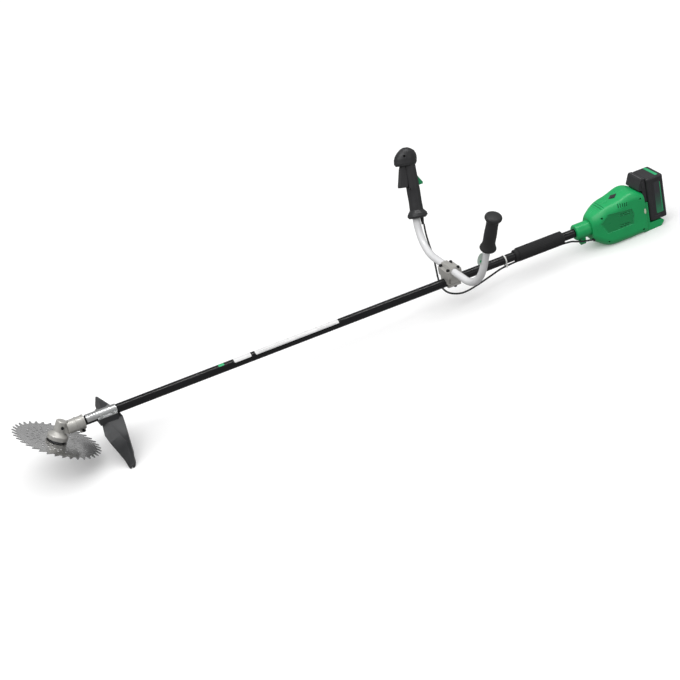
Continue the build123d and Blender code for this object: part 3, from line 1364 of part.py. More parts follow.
for side, button_name in ((-1, "latch_button_left"), (1, "latch_button_right")):
    with BuildPart() as latch_button:
        with BuildSketch(Plane.XZ.offset(-side * (LATCH_HALF - 3.0))):
            with Locations((1706.0, 80.0)):
                RectangleRounded(10.0, 18.0, 1.8)
        extrude(amount=-side * 4.6)
        fillet(latch_button.faces().sort_by(Axis.Y)[-1 if side > 0 else 0].edges(), 0.8)
    keep(latch_button, button_name)
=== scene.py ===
"""Looks of the brush cutter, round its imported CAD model. Metres, in the model's own frame.

Places on the machine are given in its drawing's millimetres: along the pipe from the blade's axis to the
motor, to the operator's right, and up from the pipe's axis. `at` and `towards` turn them into the frame.
"""
import json
import math

import bmesh
import bpy
from mathutils import Matrix, Vector


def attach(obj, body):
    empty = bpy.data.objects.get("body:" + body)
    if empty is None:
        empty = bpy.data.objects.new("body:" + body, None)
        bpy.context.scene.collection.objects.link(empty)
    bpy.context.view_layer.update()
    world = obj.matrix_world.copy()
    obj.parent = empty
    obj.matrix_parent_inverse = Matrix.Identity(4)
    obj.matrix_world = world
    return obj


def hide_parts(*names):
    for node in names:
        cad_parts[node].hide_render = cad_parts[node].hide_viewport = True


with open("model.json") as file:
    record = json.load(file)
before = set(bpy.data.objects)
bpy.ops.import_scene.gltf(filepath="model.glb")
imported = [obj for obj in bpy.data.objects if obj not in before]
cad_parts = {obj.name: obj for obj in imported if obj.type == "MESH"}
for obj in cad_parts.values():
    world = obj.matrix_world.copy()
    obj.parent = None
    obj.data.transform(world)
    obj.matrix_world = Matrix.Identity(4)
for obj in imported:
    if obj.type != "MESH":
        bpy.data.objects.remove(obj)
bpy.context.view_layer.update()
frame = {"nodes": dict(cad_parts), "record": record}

NODES = frame["nodes"]
MM = 0.001

# ---------------------------------------------------------------- the machine's drawing frame
GUARD_FOOT = (140.0, -110.0)  # along and up, where the guard's hem meets the ground
HOUSING_FOOT = (1697.0, -57.0)
LENGTH_MIDDLE = 829.4  # the frame's origin lies below this place on the pipe
WIDTH_MIDDLE = -0.4
GROUND_SLOPE = (HOUSING_FOOT[1] - GUARD_FOOT[1]) / (HOUSING_FOOT[0] - GUARD_FOOT[0])
TILT = Matrix.Rotation(math.atan(GROUND_SLOPE), 3, "Y")
GROUND_LEVEL = GUARD_FOOT[1] + (LENGTH_MIDDLE - GUARD_FOOT[0]) * GROUND_SLOPE
GROUND_MIDDLE = Vector((LENGTH_MIDDLE, WIDTH_MIDDLE, GROUND_LEVEL))
HEAD_ANGLE = math.radians(29.8)
PIPE_RADIUS = 12.0


def at(along, side, up):
    """The place in the frame, in metres, of a point of the drawing."""
    return TILT @ (Vector((along, side, up)) - GROUND_MIDDLE) * MM


def towards(along, side, up):
    """The direction in the frame of a direction of the drawing."""
    return TILT @ Vector((along, side, up)).normalized()


# ---------------------------------------------------------------- camera, floor and lights
CAMERA_AT = Vector((-1.5394, -4.4337, 2.5310))
CAMERA_TO = Vector((-0.1034, -0.1406, 0.1200))
CAMERA_ROLL = math.radians(-13.98)
CAMERA_LENS = 107.3

camera_data = bpy.data.cameras.new("camera")
camera_data.lens = CAMERA_LENS
camera_data.sensor_width = 36.0
camera_data.clip_end = 200.0
camera = bpy.data.objects.new("camera", camera_data)
aim = (CAMERA_TO - CAMERA_AT).to_track_quat("-Z", "Y").to_matrix().to_4x4()
camera.matrix_world = Matrix.Translation(CAMERA_AT) @ aim @ Matrix.Rotation(CAMERA_ROLL, 4, "Z")
bpy.context.scene.collection.objects.link(camera)
bpy.context.scene.camera = camera


def soft_light(name, place, target, width, depth, power):
    """A soft box of light at a place, facing a target: metres and watts."""
    data = bpy.data.lights.new(name, "AREA")
    data.shape = "RECTANGLE"
    data.size = width
    data.size_y = depth
    data.energy = power
    lamp = bpy.data.objects.new(name, data)
    lamp.location = place
    lamp.rotation_euler = (Vector(target) - Vector(place)).to_track_quat("-Z", "Y").to_euler()
    bpy.context.scene.collection.objects.link(lamp)
    return lamp


soft_light("key_light", (-1.6, -1.8, 3.4), (0, 0, 0.1), 2.6, 1.2, 20.0)
strip_light = soft_light("strip_light", (0.3, 0.0, 3.2), (0.3, 0.0, 0.1), 4.4, 0.16, 50.0)
blade_light = soft_light("blade_light", (0.9, 3.0, 0.75), (-0.83, 0.0, 0.1), 1.0, 0.5, 1.0)
for lamp in (strip_light, blade_light):
    lamp.visible_diffuse = False  # these two only draw the highlights on what is glossy
    lamp.visible_camera = False
soft_light("fill_light", (2.6, -3.2, 1.6), (0.3, 0, 0.1), 1.6, 1.6, 8.0)

# the wide soft light that keeps the floor evenly pale
sky_data = bpy.data.lights.new("sky_light", "SUN")
sky_data.energy = 2.5
sky_data.angle = math.radians(110)
sky_light = bpy.data.objects.new("sky_light", sky_data)
sky_light.rotation_euler = Vector((0.2, 0.05, -1.0)).to_track_quat("-Z", "Y").to_euler()
sky_light.visible_glossy = False  # the soft boxes draw the highlights
bpy.context.scene.collection.objects.link(sky_light)

world = bpy.data.worlds.new("studio")
bpy.context.scene.world = world
world.use_nodes = True
world.node_tree.nodes["Background"].inputs["Color"].default_value = (1.0, 1.0, 1.0, 1.0)
world.node_tree.nodes["Background"].inputs["Strength"].default_value = 0.30
bpy.context.scene.view_settings.view_transform = "Standard"


# ---------------------------------------------------------------- materials
# the places of the colour sockets of a Mix node
MIX_AMOUNT, MIX_FIRST, MIX_SECOND, MIX_RESULT = 0, 6, 7, 2


def shade(colour, factor):
    """A colour made darker or lighter."""
    return tuple(min(1.0, channel * factor) for channel in colour)


class Paint:
    """A material made of nodes, with short calls that add and link them."""

    def __init__(self, name):
        self.material = bpy.data.materials.new(name)
        self.material.use_nodes = True
        self.nodes = self.material.node_tree.nodes
        self.links = self.material.node_tree.links
        self.shader = self.nodes["Principled BSDF"]
        self.place = self.add("ShaderNodeTexCoord").outputs["Object"]

    def add(self, kind, inputs=None, **settings):
        """One node, with its settings, and its inputs given as values or as other nodes' outputs."""
        node = self.nodes.new(kind)
        for name, value in settings.items():
            setattr(node, name, value)
        self.feed(node, inputs or {})
        return node

    def feed(self, node, inputs):
        """Link or set a node's inputs by name."""
        for name, value in inputs.items():
            if isinstance(value, bpy.types.NodeSocket):
                self.links.new(value, node.inputs[name])
            elif isinstance(value, tuple) and len(value) == 3 and node.inputs[name].type == "RGBA":
                node.inputs[name].default_value = (*value, 1.0)
            else:
                node.inputs[name].default_value = value

    def noise(self, size, detail=3.0):
        """Cloudy values from 0 to 1, in patches of a size in metres."""
        inputs = {"Vector": self.place, "Scale": 1 / size, "Detail": detail}
        return self.add("ShaderNodeTexNoise", inputs).outputs["Fac"]

    def ramp(self, value, *stops):
        """A blend of colours, each stop a place from 0 to 1 and a colour."""
        node = self.add("ShaderNodeValToRGB", {"Fac": value})
        band = node.color_ramp
        while len(band.elements) < len(stops):
            band.elements.new(0.5)
        for element, (place, colour) in zip(band.elements, stops):
            element.position = place
            element.color = (*colour, 1.0) if len(colour) == 3 else colour
        return node.outputs["Color"]

    def span(self, value, low, high, start=0.0, end=1.0):
        """A value from start to end, made to run from low to high."""
        inputs = {"Value": value, "From Min": start, "From Max": end, "To Min": low, "To Max": high}
        return self.add("ShaderNodeMapRange", inputs).outputs["Result"]

    def feed_places(self, node, values):
        """Link or set a node's inputs by their index, where several share a name."""
        for index, value in values.items():
            if isinstance(value, bpy.types.NodeSocket):
                self.links.new(value, node.inputs[index])
            else:
                node.inputs[index].default_value = value

    def mix(self, amount, first, second):
        """Two colours mixed by an amount from 0 to 1."""
        node = self.add("ShaderNodeMix", data_type="RGBA")
        first, second = ((*value, 1.0) if isinstance(value, tuple) else value for value in (first, second))
        self.feed_places(node, {MIX_AMOUNT: amount, MIX_FIRST: first, MIX_SECOND: second})
        return node.outputs[MIX_RESULT]

    def maths(self, operation, first, second):
        node = self.add("ShaderNodeMath", operation=operation)
        self.feed_places(node, {0: first, 1: second})
        return node.outputs[0]

    def vector(self, operation, first, second):
        node = self.add("ShaderNodeVectorMath", operation=operation)
        self.feed_places(node, {0: first, 1: second})
        return node

    def corner(self, radius, sharp=0.12):
        """1 along the edges of the shape and 0 on its flats; the rounded normal comes second."""
        rounded = self.add("ShaderNodeBevel", {"Radius": radius}, samples=4).outputs["Normal"]
        straight = self.add("ShaderNodeNewGeometry").outputs["Normal"]
        same = self.vector("DOT_PRODUCT", rounded, straight).outputs["Value"]
        return self.span(same, 1.0, 0.0, 1.0 - sharp, 1.0), rounded

    def bump(self, height, distance, normal=None):
        """A normal tilted by a height field, distance deep in metres."""
        inputs = {"Height": height, "Distance": distance, "Strength": 1.0}
        if normal is not None:
            inputs["Normal"] = normal
        return self.add("ShaderNodeBump", inputs).outputs["Normal"]


RUB_PATCH = 0.006  # metres: how large the stretches are where an edge is rubbed
SHADOW_REACH = 0.006  # metres: hollows narrower than this get painted shade, a darker colour


def surface(name, colour, roughness, metallic=0.0, patch=0.03, variation=0.12, grain=0.0007,
            depth=0.00003, edge=0.0005, rub=0.25, rub_colour=None, coat=0.0, spread=0.08,
            shine=0.5, field=None, field_colour=None):
    """A moulded, cast or painted surface: patchy colour and gloss, a fine grain, edges rubbed lighter, and
    painted shade that darkens the colour in its hollows.

    patch, grain, depth and edge are metres; variation, spread and rub say how strong their effect is.
    A field gives an area another colour.
    """
    paint = Paint(name)
    broad = paint.noise(patch, detail=5.0)
    fine = paint.noise(grain, detail=2.0)
    tone = paint.ramp(broad, (0.3, shade(colour, 1 - variation)), (0.7, shade(colour, 1 + variation)))
    if field:
        tone = paint.mix(field(paint), tone, field_colour)
    corner, rounded = paint.corner(edge)
    rubbed = paint.span(paint.noise(RUB_PATCH, detail=4.0), 0.0, 2 * rub, 0.35, 0.65)
    worn = paint.maths("MULTIPLY", corner, rubbed)
    tone = paint.mix(worn, tone, rub_colour or shade(colour, 1.6))
    # painted shade: ambient occlusion darkens the colour in hollows and creases, where shade falls
    hollow_painted_shade = paint.add("ShaderNodeAmbientOcclusion", {"Distance": SHADOW_REACH}, samples=6).outputs["AO"]
    tone = paint.mix(paint.span(hollow_painted_shade, 0.75, 0.0, 0.1, 0.8), tone, shade(colour, 0.35))
    gloss = paint.span(broad, roughness - spread, roughness + spread, 0.3, 0.7)
    gloss = paint.maths("ADD", gloss, paint.span(fine, -spread / 3, spread / 3))
    paint.feed(paint.shader, {
        "Base Color": tone, "Metallic": metallic, "Roughness": gloss, "Specular IOR Level": shine,
        "Coat Weight": coat, "Coat Roughness": 0.08, "Normal": paint.bump(fine, depth, rounded),
    })
    return paint.material


def brushed(name, colour, roughness, axis, centre, patch=0.02, ring=0.0004, depth=0.00001, edge=0.0003):
    """Steel ground in circles about an axis, as a turned or ground disc is."""
    paint = Paint(name)
    from_centre = paint.vector("SUBTRACT", paint.place, centre).outputs["Vector"]
    around = paint.vector("CROSS_PRODUCT", from_centre, axis).outputs["Vector"]
    reach = paint.vector("LENGTH", around, (0, 0, 0)).outputs["Value"]
    rings = {"W": reach, "Scale": 1 / ring, "Detail": 3.0}
    lines = paint.add("ShaderNodeTexNoise", rings, noise_dimensions="1D").outputs["Fac"]
    broad = paint.noise(patch, detail=4.0)
    tone = paint.ramp(broad, (0.3, shade(colour, 0.85)), (0.7, shade(colour, 1.1)))
    streaks = paint.ramp(lines, (0.3, shade(colour, 0.6)), (0.7, shade(colour, 1.25)))
    tone = paint.mix(0.25, tone, streaks)
    gloss = paint.span(lines, roughness - 0.08, roughness + 0.08)
    gloss = paint.maths("ADD", gloss, paint.span(broad, -0.06, 0.06))
    rounded = paint.corner(edge)[1]
    paint.feed(paint.shader, {
        "Base Color": tone, "Metallic": 1.0, "Roughness": gloss, "Anisotropic": 0.8, "Tangent": around,
        "Normal": paint.bump(lines, depth, rounded),
    })
    return paint.material


# the corners of the housing's sunk side panel, along and up, clockwise
PANEL_OUTLINE = [
    (1583.0, 37.0), (1654.0, 31.0), (1660.0, 15.0), (1655.0, -15.0), (1576.0, -17.0), (1560.0, 14.0),
]
PANEL_BLEND = 0.0012  # metres: the width over which the panel's colour fades in
FAR_INSIDE = -1.0


def housing_panel(paint):
    """1 on the housing's sunk side panels and 0 round them."""
    outside = FAR_INSIDE
    for (along, up), (next_along, next_up) in zip(PANEL_OUTLINE, PANEL_OUTLINE[1:] + PANEL_OUTLINE[:1]):
        away = towards(up - next_up, 0, next_along - along)
        edge = at(along, 0, up).dot(away)
        across = paint.vector("DOT_PRODUCT", paint.place, away).outputs["Value"]
        outside = paint.maths("MAXIMUM", outside, paint.maths("SUBTRACT", across, edge))
    return paint.span(outside, 1.0, 0.0, -PANEL_BLEND, 0.0)


BLADE_AXIS = towards(math.sin(HEAD_ANGLE), 0, math.cos(HEAD_ANGLE))
BLADE_MIDDLE = at(0, 0, 0)

LOOKS = {
    "blade_steel": brushed("blade_steel", (0.60, 0.60, 0.60), 0.24, BLADE_AXIS, BLADE_MIDDLE),
    "carbide": surface("carbide", (0.42, 0.42, 0.43), 0.40, metallic=1.0, patch=0.004, grain=0.0003),
    "gear_steel": surface("gear_steel", (0.50, 0.50, 0.51), 0.30, metallic=1.0, patch=0.01,
                          grain=0.0004),
    "cast_metal": surface("cast_metal", (0.56, 0.55, 0.52), 0.44, metallic=0.55, patch=0.02, variation=0.08,
                          grain=0.0011, depth=0.00009, edge=0.0009, rub=0.35,
                          rub_colour=(0.70, 0.69, 0.66)),
    "black_screw": surface("black_screw", (0.022, 0.022, 0.024), 0.34, metallic=0.6, patch=0.003,
                           grain=0.0002, depth=0.00001, rub=0.3, rub_colour=(0.22, 0.22, 0.22)),
    "bright_plate": surface("bright_plate", (0.72, 0.73, 0.73), 0.36, metallic=1.0, patch=0.03,
                            variation=0.05, grain=0.0005, depth=0.000002, spread=0.04, rub=0.1),
    "pipe_black": surface("pipe_black", (0.006, 0.006, 0.007), 0.14, patch=0.09, variation=0.25,
                          grain=0.0012, depth=0.000004, coat=0.25, spread=0.04, rub=0.1, shine=0.3),
    "bar_white": surface("bar_white", (0.80, 0.80, 0.81), 0.22, patch=0.06, variation=0.02, grain=0.0015,
                         depth=0.00001, coat=0.5, spread=0.05, rub=0.05),
    "guard_plastic": surface("guard_plastic", (0.030, 0.031, 0.033), 0.38, patch=0.05, variation=0.18,
                             grain=0.0006, depth=0.00004, edge=0.0012, rub=0.3,
                             rub_colour=(0.16, 0.16, 0.165)),
    "grip_rubber": surface("grip_rubber", (0.020, 0.020, 0.021), 0.56, patch=0.02, variation=0.2,
                           grain=0.0005, depth=0.00004, rub=0.25, rub_colour=(0.07, 0.07, 0.07)),
    "grip_plastic": surface("grip_plastic", (0.026, 0.026, 0.028), 0.42, patch=0.03, variation=0.15,
                            grain=0.0005, depth=0.00004, rub=0.3, rub_colour=(0.09, 0.09, 0.095)),
    "green_plastic": surface("green_plastic", (0.008, 0.40, 0.115), 0.34, patch=0.05, variation=0.06,
                             grain=0.0006, depth=0.00003, edge=0.0014, rub=0.6,
                             rub_colour=(0.10, 0.66, 0.30), field=housing_panel,
                             field_colour=(0.006, 0.27, 0.078)),
    "green_lever": surface("green_lever", (0.006, 0.26, 0.09), 0.42, patch=0.01, variation=0.1,
                           grain=0.0005),
    "foam": surface("foam", (0.016, 0.016, 0.017), 0.78, patch=0.02, variation=0.25, grain=0.0011,
                    depth=0.00022, rub=0.1, rub_colour=(0.05, 0.05, 0.05)),
    "cable_rubber": surface("cable_rubber", (0.018, 0.018, 0.019), 0.45, patch=0.02, variation=0.2,
                            grain=0.0008, depth=0.00002, rub=0.1),
    "tie_white": surface("tie_white", (0.82, 0.83, 0.80), 0.38, patch=0.008, variation=0.04, grain=0.0004,
                         depth=0.00001, rub=0.1),
    "battery_plastic": surface("battery_plastic", (0.026, 0.026, 0.029), 0.40, patch=0.03, variation=0.15,
                               grain=0.0005, depth=0.00004, edge=0.0009, rub=0.4,
                               rub_colour=(0.18, 0.18, 0.19)),
    "button_plastic": surface("button_plastic", (0.030, 0.030, 0.033), 0.38, patch=0.008, variation=0.15,
                              grain=0.0004, depth=0.00002, rub=0.3, rub_colour=(0.12, 0.12, 0.12)),
    "bush_plastic": surface("bush_plastic", (0.70, 0.69, 0.64), 0.45, patch=0.01, variation=0.05),
    "magnet_steel": surface("magnet_steel", (0.36, 0.36, 0.38), 0.42, metallic=1.0, patch=0.006),
    "copper": surface("copper", (0.72, 0.33, 0.16), 0.30, metallic=1.0, patch=0.003, grain=0.0005,
                      depth=0.0001),
    "circuit": surface("circuit", (0.02, 0.16, 0.06), 0.40, patch=0.004, variation=0.3),
    "cell_wrap": surface("cell_wrap", (0.05, 0.22, 0.45), 0.32, patch=0.02, variation=0.06),
}
LABEL_FILM = surface("label_film", (0.80, 0.80, 0.80), 0.30, patch=0.02, variation=0.03, grain=0.0006,
                     depth=0.000008, rub=0.05)
LABEL_INK = surface("label_ink", (0.30, 0.30, 0.31), 0.35, patch=0.01, variation=0.15, grain=0.0004,
                    depth=0.000004, rub=0.05)
GREEN_INK = surface("green_ink", (0.02, 0.42, 0.16), 0.32, patch=0.02, variation=0.08, grain=0.0004,
                    depth=0.000004, rub=0.1)
PALE_PLATE = surface("pale_plate", (0.62, 0.72, 0.52), 0.30, patch=0.006, variation=0.06, grain=0.0004,
                     depth=0.00001, rub=0.1)
TAG_FILM = surface("tag_film", (0.62, 0.74, 0.66), 0.25, patch=0.01, variation=0.05, grain=0.0006,
                   depth=0.00001, rub=0.1)

BATTERY_LABEL_AT = 1744.0  # along the machine
LABEL_GREEN_UNTIL, LABEL_DARK_FROM = -15.0, 50.0  # up


def battery_label():
    """A dark glossy label that turns green towards its foot."""
    paint = Paint("battery_label")
    height = paint.add("ShaderNodeSeparateXYZ", {"Vector": paint.place}).outputs["Z"]
    low = at(BATTERY_LABEL_AT, 0, LABEL_GREEN_UNTIL).z
    high = at(BATTERY_LABEL_AT, 0, LABEL_DARK_FROM).z
    patchy = paint.maths("ADD", paint.span(height, 0.0, 1.0, low, high),
                         paint.span(paint.noise(0.012), -0.12, 0.12))
    green, between, dark = (0.02, 0.26, 0.11), (0.03, 0.09, 0.06), (0.035, 0.035, 0.042)
    tone = paint.ramp(patchy, (0.0, green), (0.55, between), (1.0, dark))
    paint.feed(paint.shader, {
        "Base Color": tone, "Roughness": paint.span(paint.noise(0.01), 0.18, 0.3), "Coat Weight": 0.4,
        "Normal": paint.bump(paint.noise(0.0006), 0.000006),
    })
    return paint.material


BATTERY_LABEL = battery_label()

for entry in frame["record"]["subparts"]:
    node = NODES[entry["node"]]
    node.data.materials.clear()
    node.data.materials.append(LOOKS[entry["material_slot"]])
    node.data.polygons.foreach_set("use_smooth", [True] * len(node.data.polygons))

SMOOTH_ANGLE = math.radians(32)
for node in NODES.values():
    node.data.set_sharp_from_angle(angle=SMOOTH_ANGLE)


# ---------------------------------------------------------------- control cable
CABLE_RADIUS = 2.5
CABLE_GAP = 0.7
UNDER_PIPE = -PIPE_RADIUS - CABLE_RADIUS - CABLE_GAP
CABLE_ROUTE = [
    (1143.3, 187.3, 91.3),
    (1139.7, 179.5, 69.0),
    (1134.0, 155.0, 42.0),
    (1126.0, 121.0, 18.0),
    (1112.0, 86.0, 3.0),
    (1097.0, 50.0, -7.0),
    (1088.0, 18.0, -18.0),
    (1092.0, -8.0, -27.0),
    (1112.0, -20.0, -34.0),
    (1140.0, -18.0, -40.0),
    (1185.0, -10.0, -36.0),
    (1230.0, -5.0, -27.0),
    (1274.0, -4.0, UNDER_PIPE),
    (1470.0, -4.0, UNDER_PIPE),
    (1494.0, -14.0, -22.0),
    (1520.0, -19.0, -27.0),
    (1541.0, -20.0, -30.0),
]


def control_cable():
    """The trigger's cable, from the grip's boot under the pipe to the gland on the housing."""
    data = bpy.data.curves.new("cable", "CURVE")
    data.dimensions = "3D"
    data.bevel_depth = CABLE_RADIUS * MM
    data.bevel_resolution = 5
    data.resolution_u = 8
    data.use_fill_caps = True
    spline = data.splines.new("NURBS")
    spline.points.add(len(CABLE_ROUTE) - 1)
    for point, place in zip(spline.points, CABLE_ROUTE):
        point.co = (*at(*place), 1.0)
    spline.order_u = 3
    spline.use_endpoint_u = True
    data.materials.append(LOOKS["cable_rubber"])
    cable = bpy.data.objects.new("cable", data)
    bpy.context.scene.collection.objects.link(cable)
    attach(cable, "machine")
    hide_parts("control_cable")


control_cable()


# ---------------------------------------------------------------- shared mesh work
def add_piece(name, mesh, material, body, smooth=True):
    """A finished mesh as a piece that rides on a body."""
    data = bpy.data.meshes.new(name)
    mesh.to_mesh(data)
    mesh.free()
    data.materials.append(material)
    if smooth:
        data.polygons.foreach_set("use_smooth", [True] * len(data.polygons))
        data.set_sharp_from_angle(angle=SMOOTH_ANGLE)
    piece = bpy.data.objects.new(name, data)
    bpy.context.scene.collection.objects.link(piece)
    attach(piece, body)
    return piece


def plate(mesh, outline, lift, thickness, place):
    """A thin closed plate: its outline is flat (x, y), and place turns (x, y, height) into the frame."""
    rings = []
    for height in (lift, lift + thickness):
        rings.append([mesh.verts.new(place(x, y, height)) for x, y in outline])
    low, high = rings
    mesh.faces.new(list(reversed(low)))
    mesh.faces.new(high)
    count = len(outline)
    for index in range(count):
        after = (index + 1) % count
        mesh.faces.new((low[index], low[after], high[after], high[index]))


# ---------------------------------------------------------------- labels on the pipe
LABEL_STEPS = 28
LABEL_CORNER = 2.0


def pipe_label(name, start, end, first_angle, last_angle, radius, thickness, material):
    """A label wrapped over the pipe: a closed sheet between two angles round it, with round corners."""
    mesh = bmesh.new()

    def inset(share):
        """How far the ends draw in beside the label's long edges, for its rounded corners."""
        width = (last_angle - first_angle) * radius
        from_edge = min(share, 1 - share) * width
        if from_edge >= LABEL_CORNER:
            return 0.0
        return LABEL_CORNER - math.sqrt(max(0.0, LABEL_CORNER**2 - (LABEL_CORNER - from_edge) ** 2))

    rows = {}
    for level, reach in enumerate((radius, radius + thickness)):
        for step in range(LABEL_STEPS + 1):
            share = step / LABEL_STEPS
            angle = first_angle + (last_angle - first_angle) * share
            side, up = reach * math.cos(angle), reach * math.sin(angle)
            for end_index, along in enumerate((start + inset(share), end - inset(share))):
                rows[level, step, end_index] = mesh.verts.new(at(along, side, up))
    for step in range(LABEL_STEPS):
        after = step + 1
        mesh.faces.new((rows[1, step, 0], rows[1, step, 1], rows[1, after, 1], rows[1, after, 0]))
        mesh.faces.new((rows[0, step, 0], rows[0, after, 0], rows[0, after, 1], rows[0, step, 1]))
        mesh.faces.new((rows[0, step, 0], rows[1, step, 0], rows[1, after, 0], rows[0, after, 0]))
        mesh.faces.new((rows[0, step, 1], rows[0, after, 1], rows[1, after, 1], rows[1, step, 1]))
    for step in (0, LABEL_STEPS):
        mesh.faces.new((rows[0, step, 0], rows[0, step, 1], rows[1, step, 1], rows[1, step, 0]))
    bmesh.ops.recalc_face_normals(mesh, faces=mesh.faces)
    return add_piece(name, mesh, material, "machine")


LABEL_RADIUS = PIPE_RADIUS + 0.02
LABEL_THICKNESS = 0.12
INK_THICKNESS = 0.03
LABEL_BACK = math.radians(35)  # angles round the pipe, from the operator's right over the top
LABEL_FRONT = math.radians(150)
LINE_SHORTER = 18.0  # how much shorter the upper line of each pair is
pipe_label("front_label", 477.0, 525.0, LABEL_BACK, LABEL_FRONT, LABEL_RADIUS, LABEL_THICKNESS, LABEL_FILM)
pipe_label("long_label", 537.0, 776.0, LABEL_BACK, LABEL_FRONT, LABEL_RADIUS, LABEL_THICKNESS, LABEL_FILM)
pipe_label("green_mark", 434.0, 450.0, math.radians(82), math.radians(128), LABEL_RADIUS, 0.10, GREEN_INK)
for number, (first, last) in enumerate(((545.0, 640.0), (650.0, 700.0), (712.0, 768.0))):
    pipe_label(f"label_rule_{number}", first, last, math.radians(140), math.radians(143),
               LABEL_RADIUS + LABEL_THICKNESS, INK_THICKNESS, LABEL_INK)
    pipe_label(f"label_line_{number}", first, last - LINE_SHORTER, math.radians(122), math.radians(124),
               LABEL_RADIUS + LABEL_THICKNESS, INK_THICKNESS, LABEL_INK)


# ---------------------------------------------------------------- left-hand grip
HANDLE_ORIGIN = Vector((1117.0, 0.0, 34.0))
HANDLE_LEAN = math.radians(9.0)
BAR_RADIUS = 10.0
BAR_CORNER = 167.0
BAR_RISE = math.radians(71.5)
LEAN_AXIS = Vector((math.sin(HANDLE_LEAN), 0.0, math.cos(HANDLE_LEAN)))
LEFT_CORNER = HANDLE_ORIGIN - Vector((0.0, BAR_CORNER, 0.0))
UP_LEFT = LEAN_AXIS * math.sin(BAR_RISE) - Vector((0.0, math.cos(BAR_RISE), 0.0))
AHEAD = Vector((-math.cos(HANDLE_LEAN), 0.0, math.sin(HANDLE_LEAN)))
GRIP_FOOT = 131.0  # how far up the bar from its bend the grip begins
BAR_END = 104.0  # how far the bar reaches up inside the grip
# radius and height of the grip's outline, from the end of its bore round to its crown
GRIP_PROFILE = [
    (0.0, BAR_END), (BAR_RADIUS, BAR_END), (BAR_RADIUS, BAR_END - 4.0), (BAR_RADIUS, 4.0),
    (BAR_RADIUS, 0.4), (11.5, 0.0), (17.0, 0.4), (21.0, 2.6), (22.3, 6.2), (21.0, 10.5),
    (18.2, 15.5), (16.6, 22.0), (16.3, 30.0), (16.8, 42.0), (16.9, 52.0), (16.2, 64.0),
    (16.0, 76.0), (15.8, 87.0), (16.6, 92.0), (20.0, 96.4), (22.5, 99.6), (22.9, 103.0),
    (22.0, 106.6), (18.6, 109.2), (18.0, 109.0), (17.2, 109.3), (9.0, 111.3), (0.0, 111.7),
]


def lathe(name, profile, middle, axis, material, body, segments=48):
    """A closed turned shape: its profile is radius and height, from one pole to the other."""
    across = axis.orthogonal().normalized()
    beside = axis.cross(across)
    mesh = bmesh.new()
    rings = []
    for radius, height in profile:
        centre = middle + axis * height
        if radius == 0.0:
            rings.append([mesh.verts.new(at(*centre))])
            continue
        ring = []
        for step in range(segments):
            turn = 2 * math.pi * step / segments
            outwards = across * math.cos(turn) + beside * math.sin(turn)
            ring.append(mesh.verts.new(at(*(centre + outwards * radius))))
        rings.append(ring)
    for low, high in zip(rings, rings[1:]):
        for step in range(segments):
            after = (step + 1) % segments
            if len(low) == 1:
                mesh.faces.new((low[0], high[after], high[step]))
            elif len(high) == 1:
                mesh.faces.new((low[step], low[after], high[0]))
            else:
                mesh.faces.new((low[step], low[after], high[after], high[step]))
    bmesh.ops.recalc_face_normals(mesh, faces=mesh.faces)
    piece = add_piece(name, mesh, material, body)
    rounder = piece.modifiers.new("rounder", "SUBSURF")
    rounder.levels = rounder.render_levels = 1
    return piece


left_grip = lathe("left_grip_rubber", GRIP_PROFILE, LEFT_CORNER + UP_LEFT * GRIP_FOOT, UP_LEFT,
                  LOOKS["grip_rubber"], "machine")
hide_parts("left_grip")


# ---------------------------------------------------------------- plates, tag and battery trim
def oval(width, height, steps=40):
    """An ellipse's outline."""
    turns = [2 * math.pi * step / steps for step in range(steps)]
    return [(width / 2 * math.cos(turn), height / 2 * math.sin(turn)) for turn in turns]


def rounded(width, height, corner, steps=6):
    """A rectangle's outline with round corners."""
    outline = []
    for quarter, (x, y) in enumerate(((1, 1), (-1, 1), (-1, -1), (1, -1))):
        for step in range(steps + 1):
            turn = math.pi / 2 * (quarter + step / steps)
            outline.append((x * (width / 2 - corner) + corner * math.cos(turn),
                            y * (height / 2 - corner) + corner * math.sin(turn)))
    return outline


TRIM_ROUNDING = 0.35  # of a plate's thickness


def trim(name, outline, middle, right, up, thickness, material, body, lift=0.0):
    """A thin closed plate on a flat face: its middle, and its right and up directions in the drawing."""
    right, up = Vector(right).normalized(), Vector(up).normalized()
    out = right.cross(up)
    mesh = bmesh.new()
    plate(mesh, outline, lift, thickness,
          lambda x, y, height: at(*(Vector(middle) + right * x + up * y + out * height)))
    bmesh.ops.recalc_face_normals(mesh, faces=mesh.faces)
    piece = add_piece(name, mesh, material, body)
    edge = piece.modifiers.new("edge", "BEVEL")
    edge.width = TRIM_ROUNDING * thickness * MM
    edge.segments = 2
    edge.limit_method = "ANGLE"
    edge.angle_limit = math.radians(50)
    return piece


HOUSING_SIDE = 44.4
BADGE_AT = 1693.0
BEZEL_THICKNESS = 0.5
for side, word in ((-1, "left"), (1, "right")):
    facing = (-side, 0, 0)
    trim(f"badge_bezel_{word}", oval(9.0, 19.0), (BADGE_AT, side * HOUSING_SIDE, 9.0), facing, (0, 0, 1),
         BEZEL_THICKNESS, LOOKS["green_lever"], "machine")
    trim(f"badge_{word}", oval(6.6, 16.0), (BADGE_AT, side * HOUSING_SIDE, 8.6), facing, (0, 0, 1), 0.4,
         PALE_PLATE, "machine", lift=BEZEL_THICKNESS)

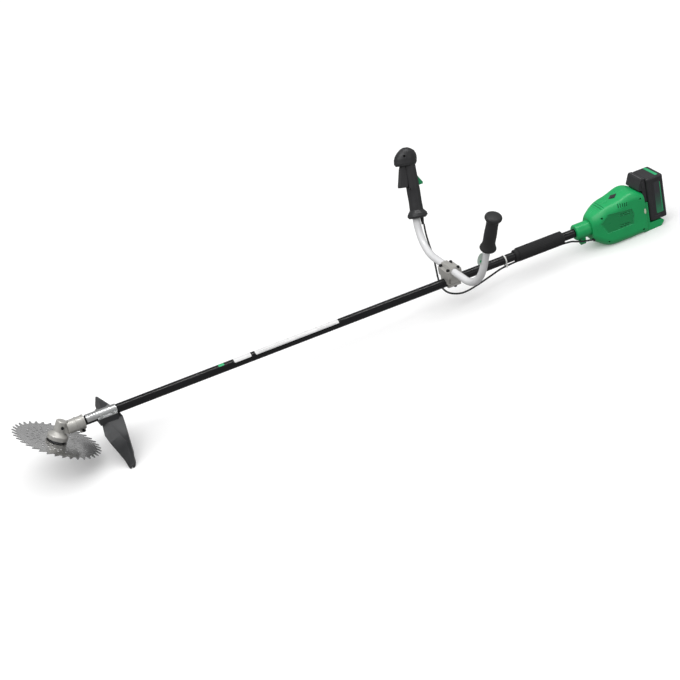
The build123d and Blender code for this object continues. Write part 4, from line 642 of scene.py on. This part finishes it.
BATTERY_SIDE = 37.0
BATTERY_MIDDLE = 31.0  # up
BATTERY_FILM = 0.3
STRIPE_BEHIND = 8.0
for side, word in ((-1, "left"), (1, "right")):
    facing = (-side, 0, 0)
    label_middle = (BATTERY_LABEL_AT, side * BATTERY_SIDE, BATTERY_MIDDLE)
    trim(f"battery_label_{word}", rounded(22.0, 92.0, 4.0), label_middle, facing, (0, 0, 1),
         BATTERY_FILM, BATTERY_LABEL, "battery")
    stripe_middle = (BATTERY_LABEL_AT + STRIPE_BEHIND, side * BATTERY_SIDE, BATTERY_MIDDLE)
    trim(f"battery_stripe_{word}", rounded(2.2, 88.0, 1.0), stripe_middle, facing, (0, 0, 1), 0.2,
         GREEN_INK, "battery", lift=BATTERY_FILM)
trim("battery_top_stripe", rounded(9.0, 62.0, 3.0), (1749.0, 0.0, 94.0), (1, 0, 0), (0, 1, 0), 0.4,
     GREEN_INK, "battery")
# painted highlight: a bright strip on the latch block's top edge stands in for the light caught along that
# edge
trim("latch_block_painted_highlight", rounded(3.4, 54.0, 1.2), (1701.5, 0.0, 95.5), (3.0, 0, 3.0), (0, 1, 0), 0.3,
     LOOKS["bright_plate"], "battery")

TAG_LEVEL = 105.0
TAG_THICKNESS = 0.7
tag_middle = LEFT_CORNER + UP_LEFT * TAG_LEVEL + AHEAD * (BAR_RADIUS + 7.0)
mark_middle = tag_middle - UP_LEFT * 8.0 - AHEAD * 2.0
trim("tag", oval(17.0, 38.0), tag_middle, -AHEAD, UP_LEFT, TAG_THICKNESS, TAG_FILM, "machine")
trim("tag_mark", oval(5.0, 9.0), mark_middle, -AHEAD, UP_LEFT, 0.15, GREEN_INK,
     "machine", lift=TAG_THICKNESS)


FLOOR_HALF = 40.0  # metres


def floor():
    """A plain pale floor, wide enough to fill every view."""
    mesh = bmesh.new()
    corners = ((-1, -1), (1, -1), (1, 1), (-1, 1))
    mesh.faces.new([mesh.verts.new((x * FLOOR_HALF, y * FLOOR_HALF, 0.0)) for x, y in corners])
    data = bpy.data.meshes.new("floor")
    mesh.to_mesh(data)
    mesh.free()
    paint = Paint("floor")
    broad = paint.noise(0.7, detail=3.0)
    tone = paint.ramp(broad, (0.3, (0.86, 0.86, 0.86)), (0.7, (0.90, 0.90, 0.90)))
    paint.feed(paint.shader, {"Base Color": tone, "Roughness": 0.75, "Specular IOR Level": 0.15,
                              "Emission Color": (1.0, 1.0, 1.0), "Emission Strength": 0.14})
    data.materials.append(paint.material)
    ground = bpy.data.objects.new("floor", data)
    bpy.context.scene.collection.objects.link(ground)
    ground.visible_diffuse = False  # the machine's undersides stay darker than its tops
    ground.visible_glossy = False


floor()
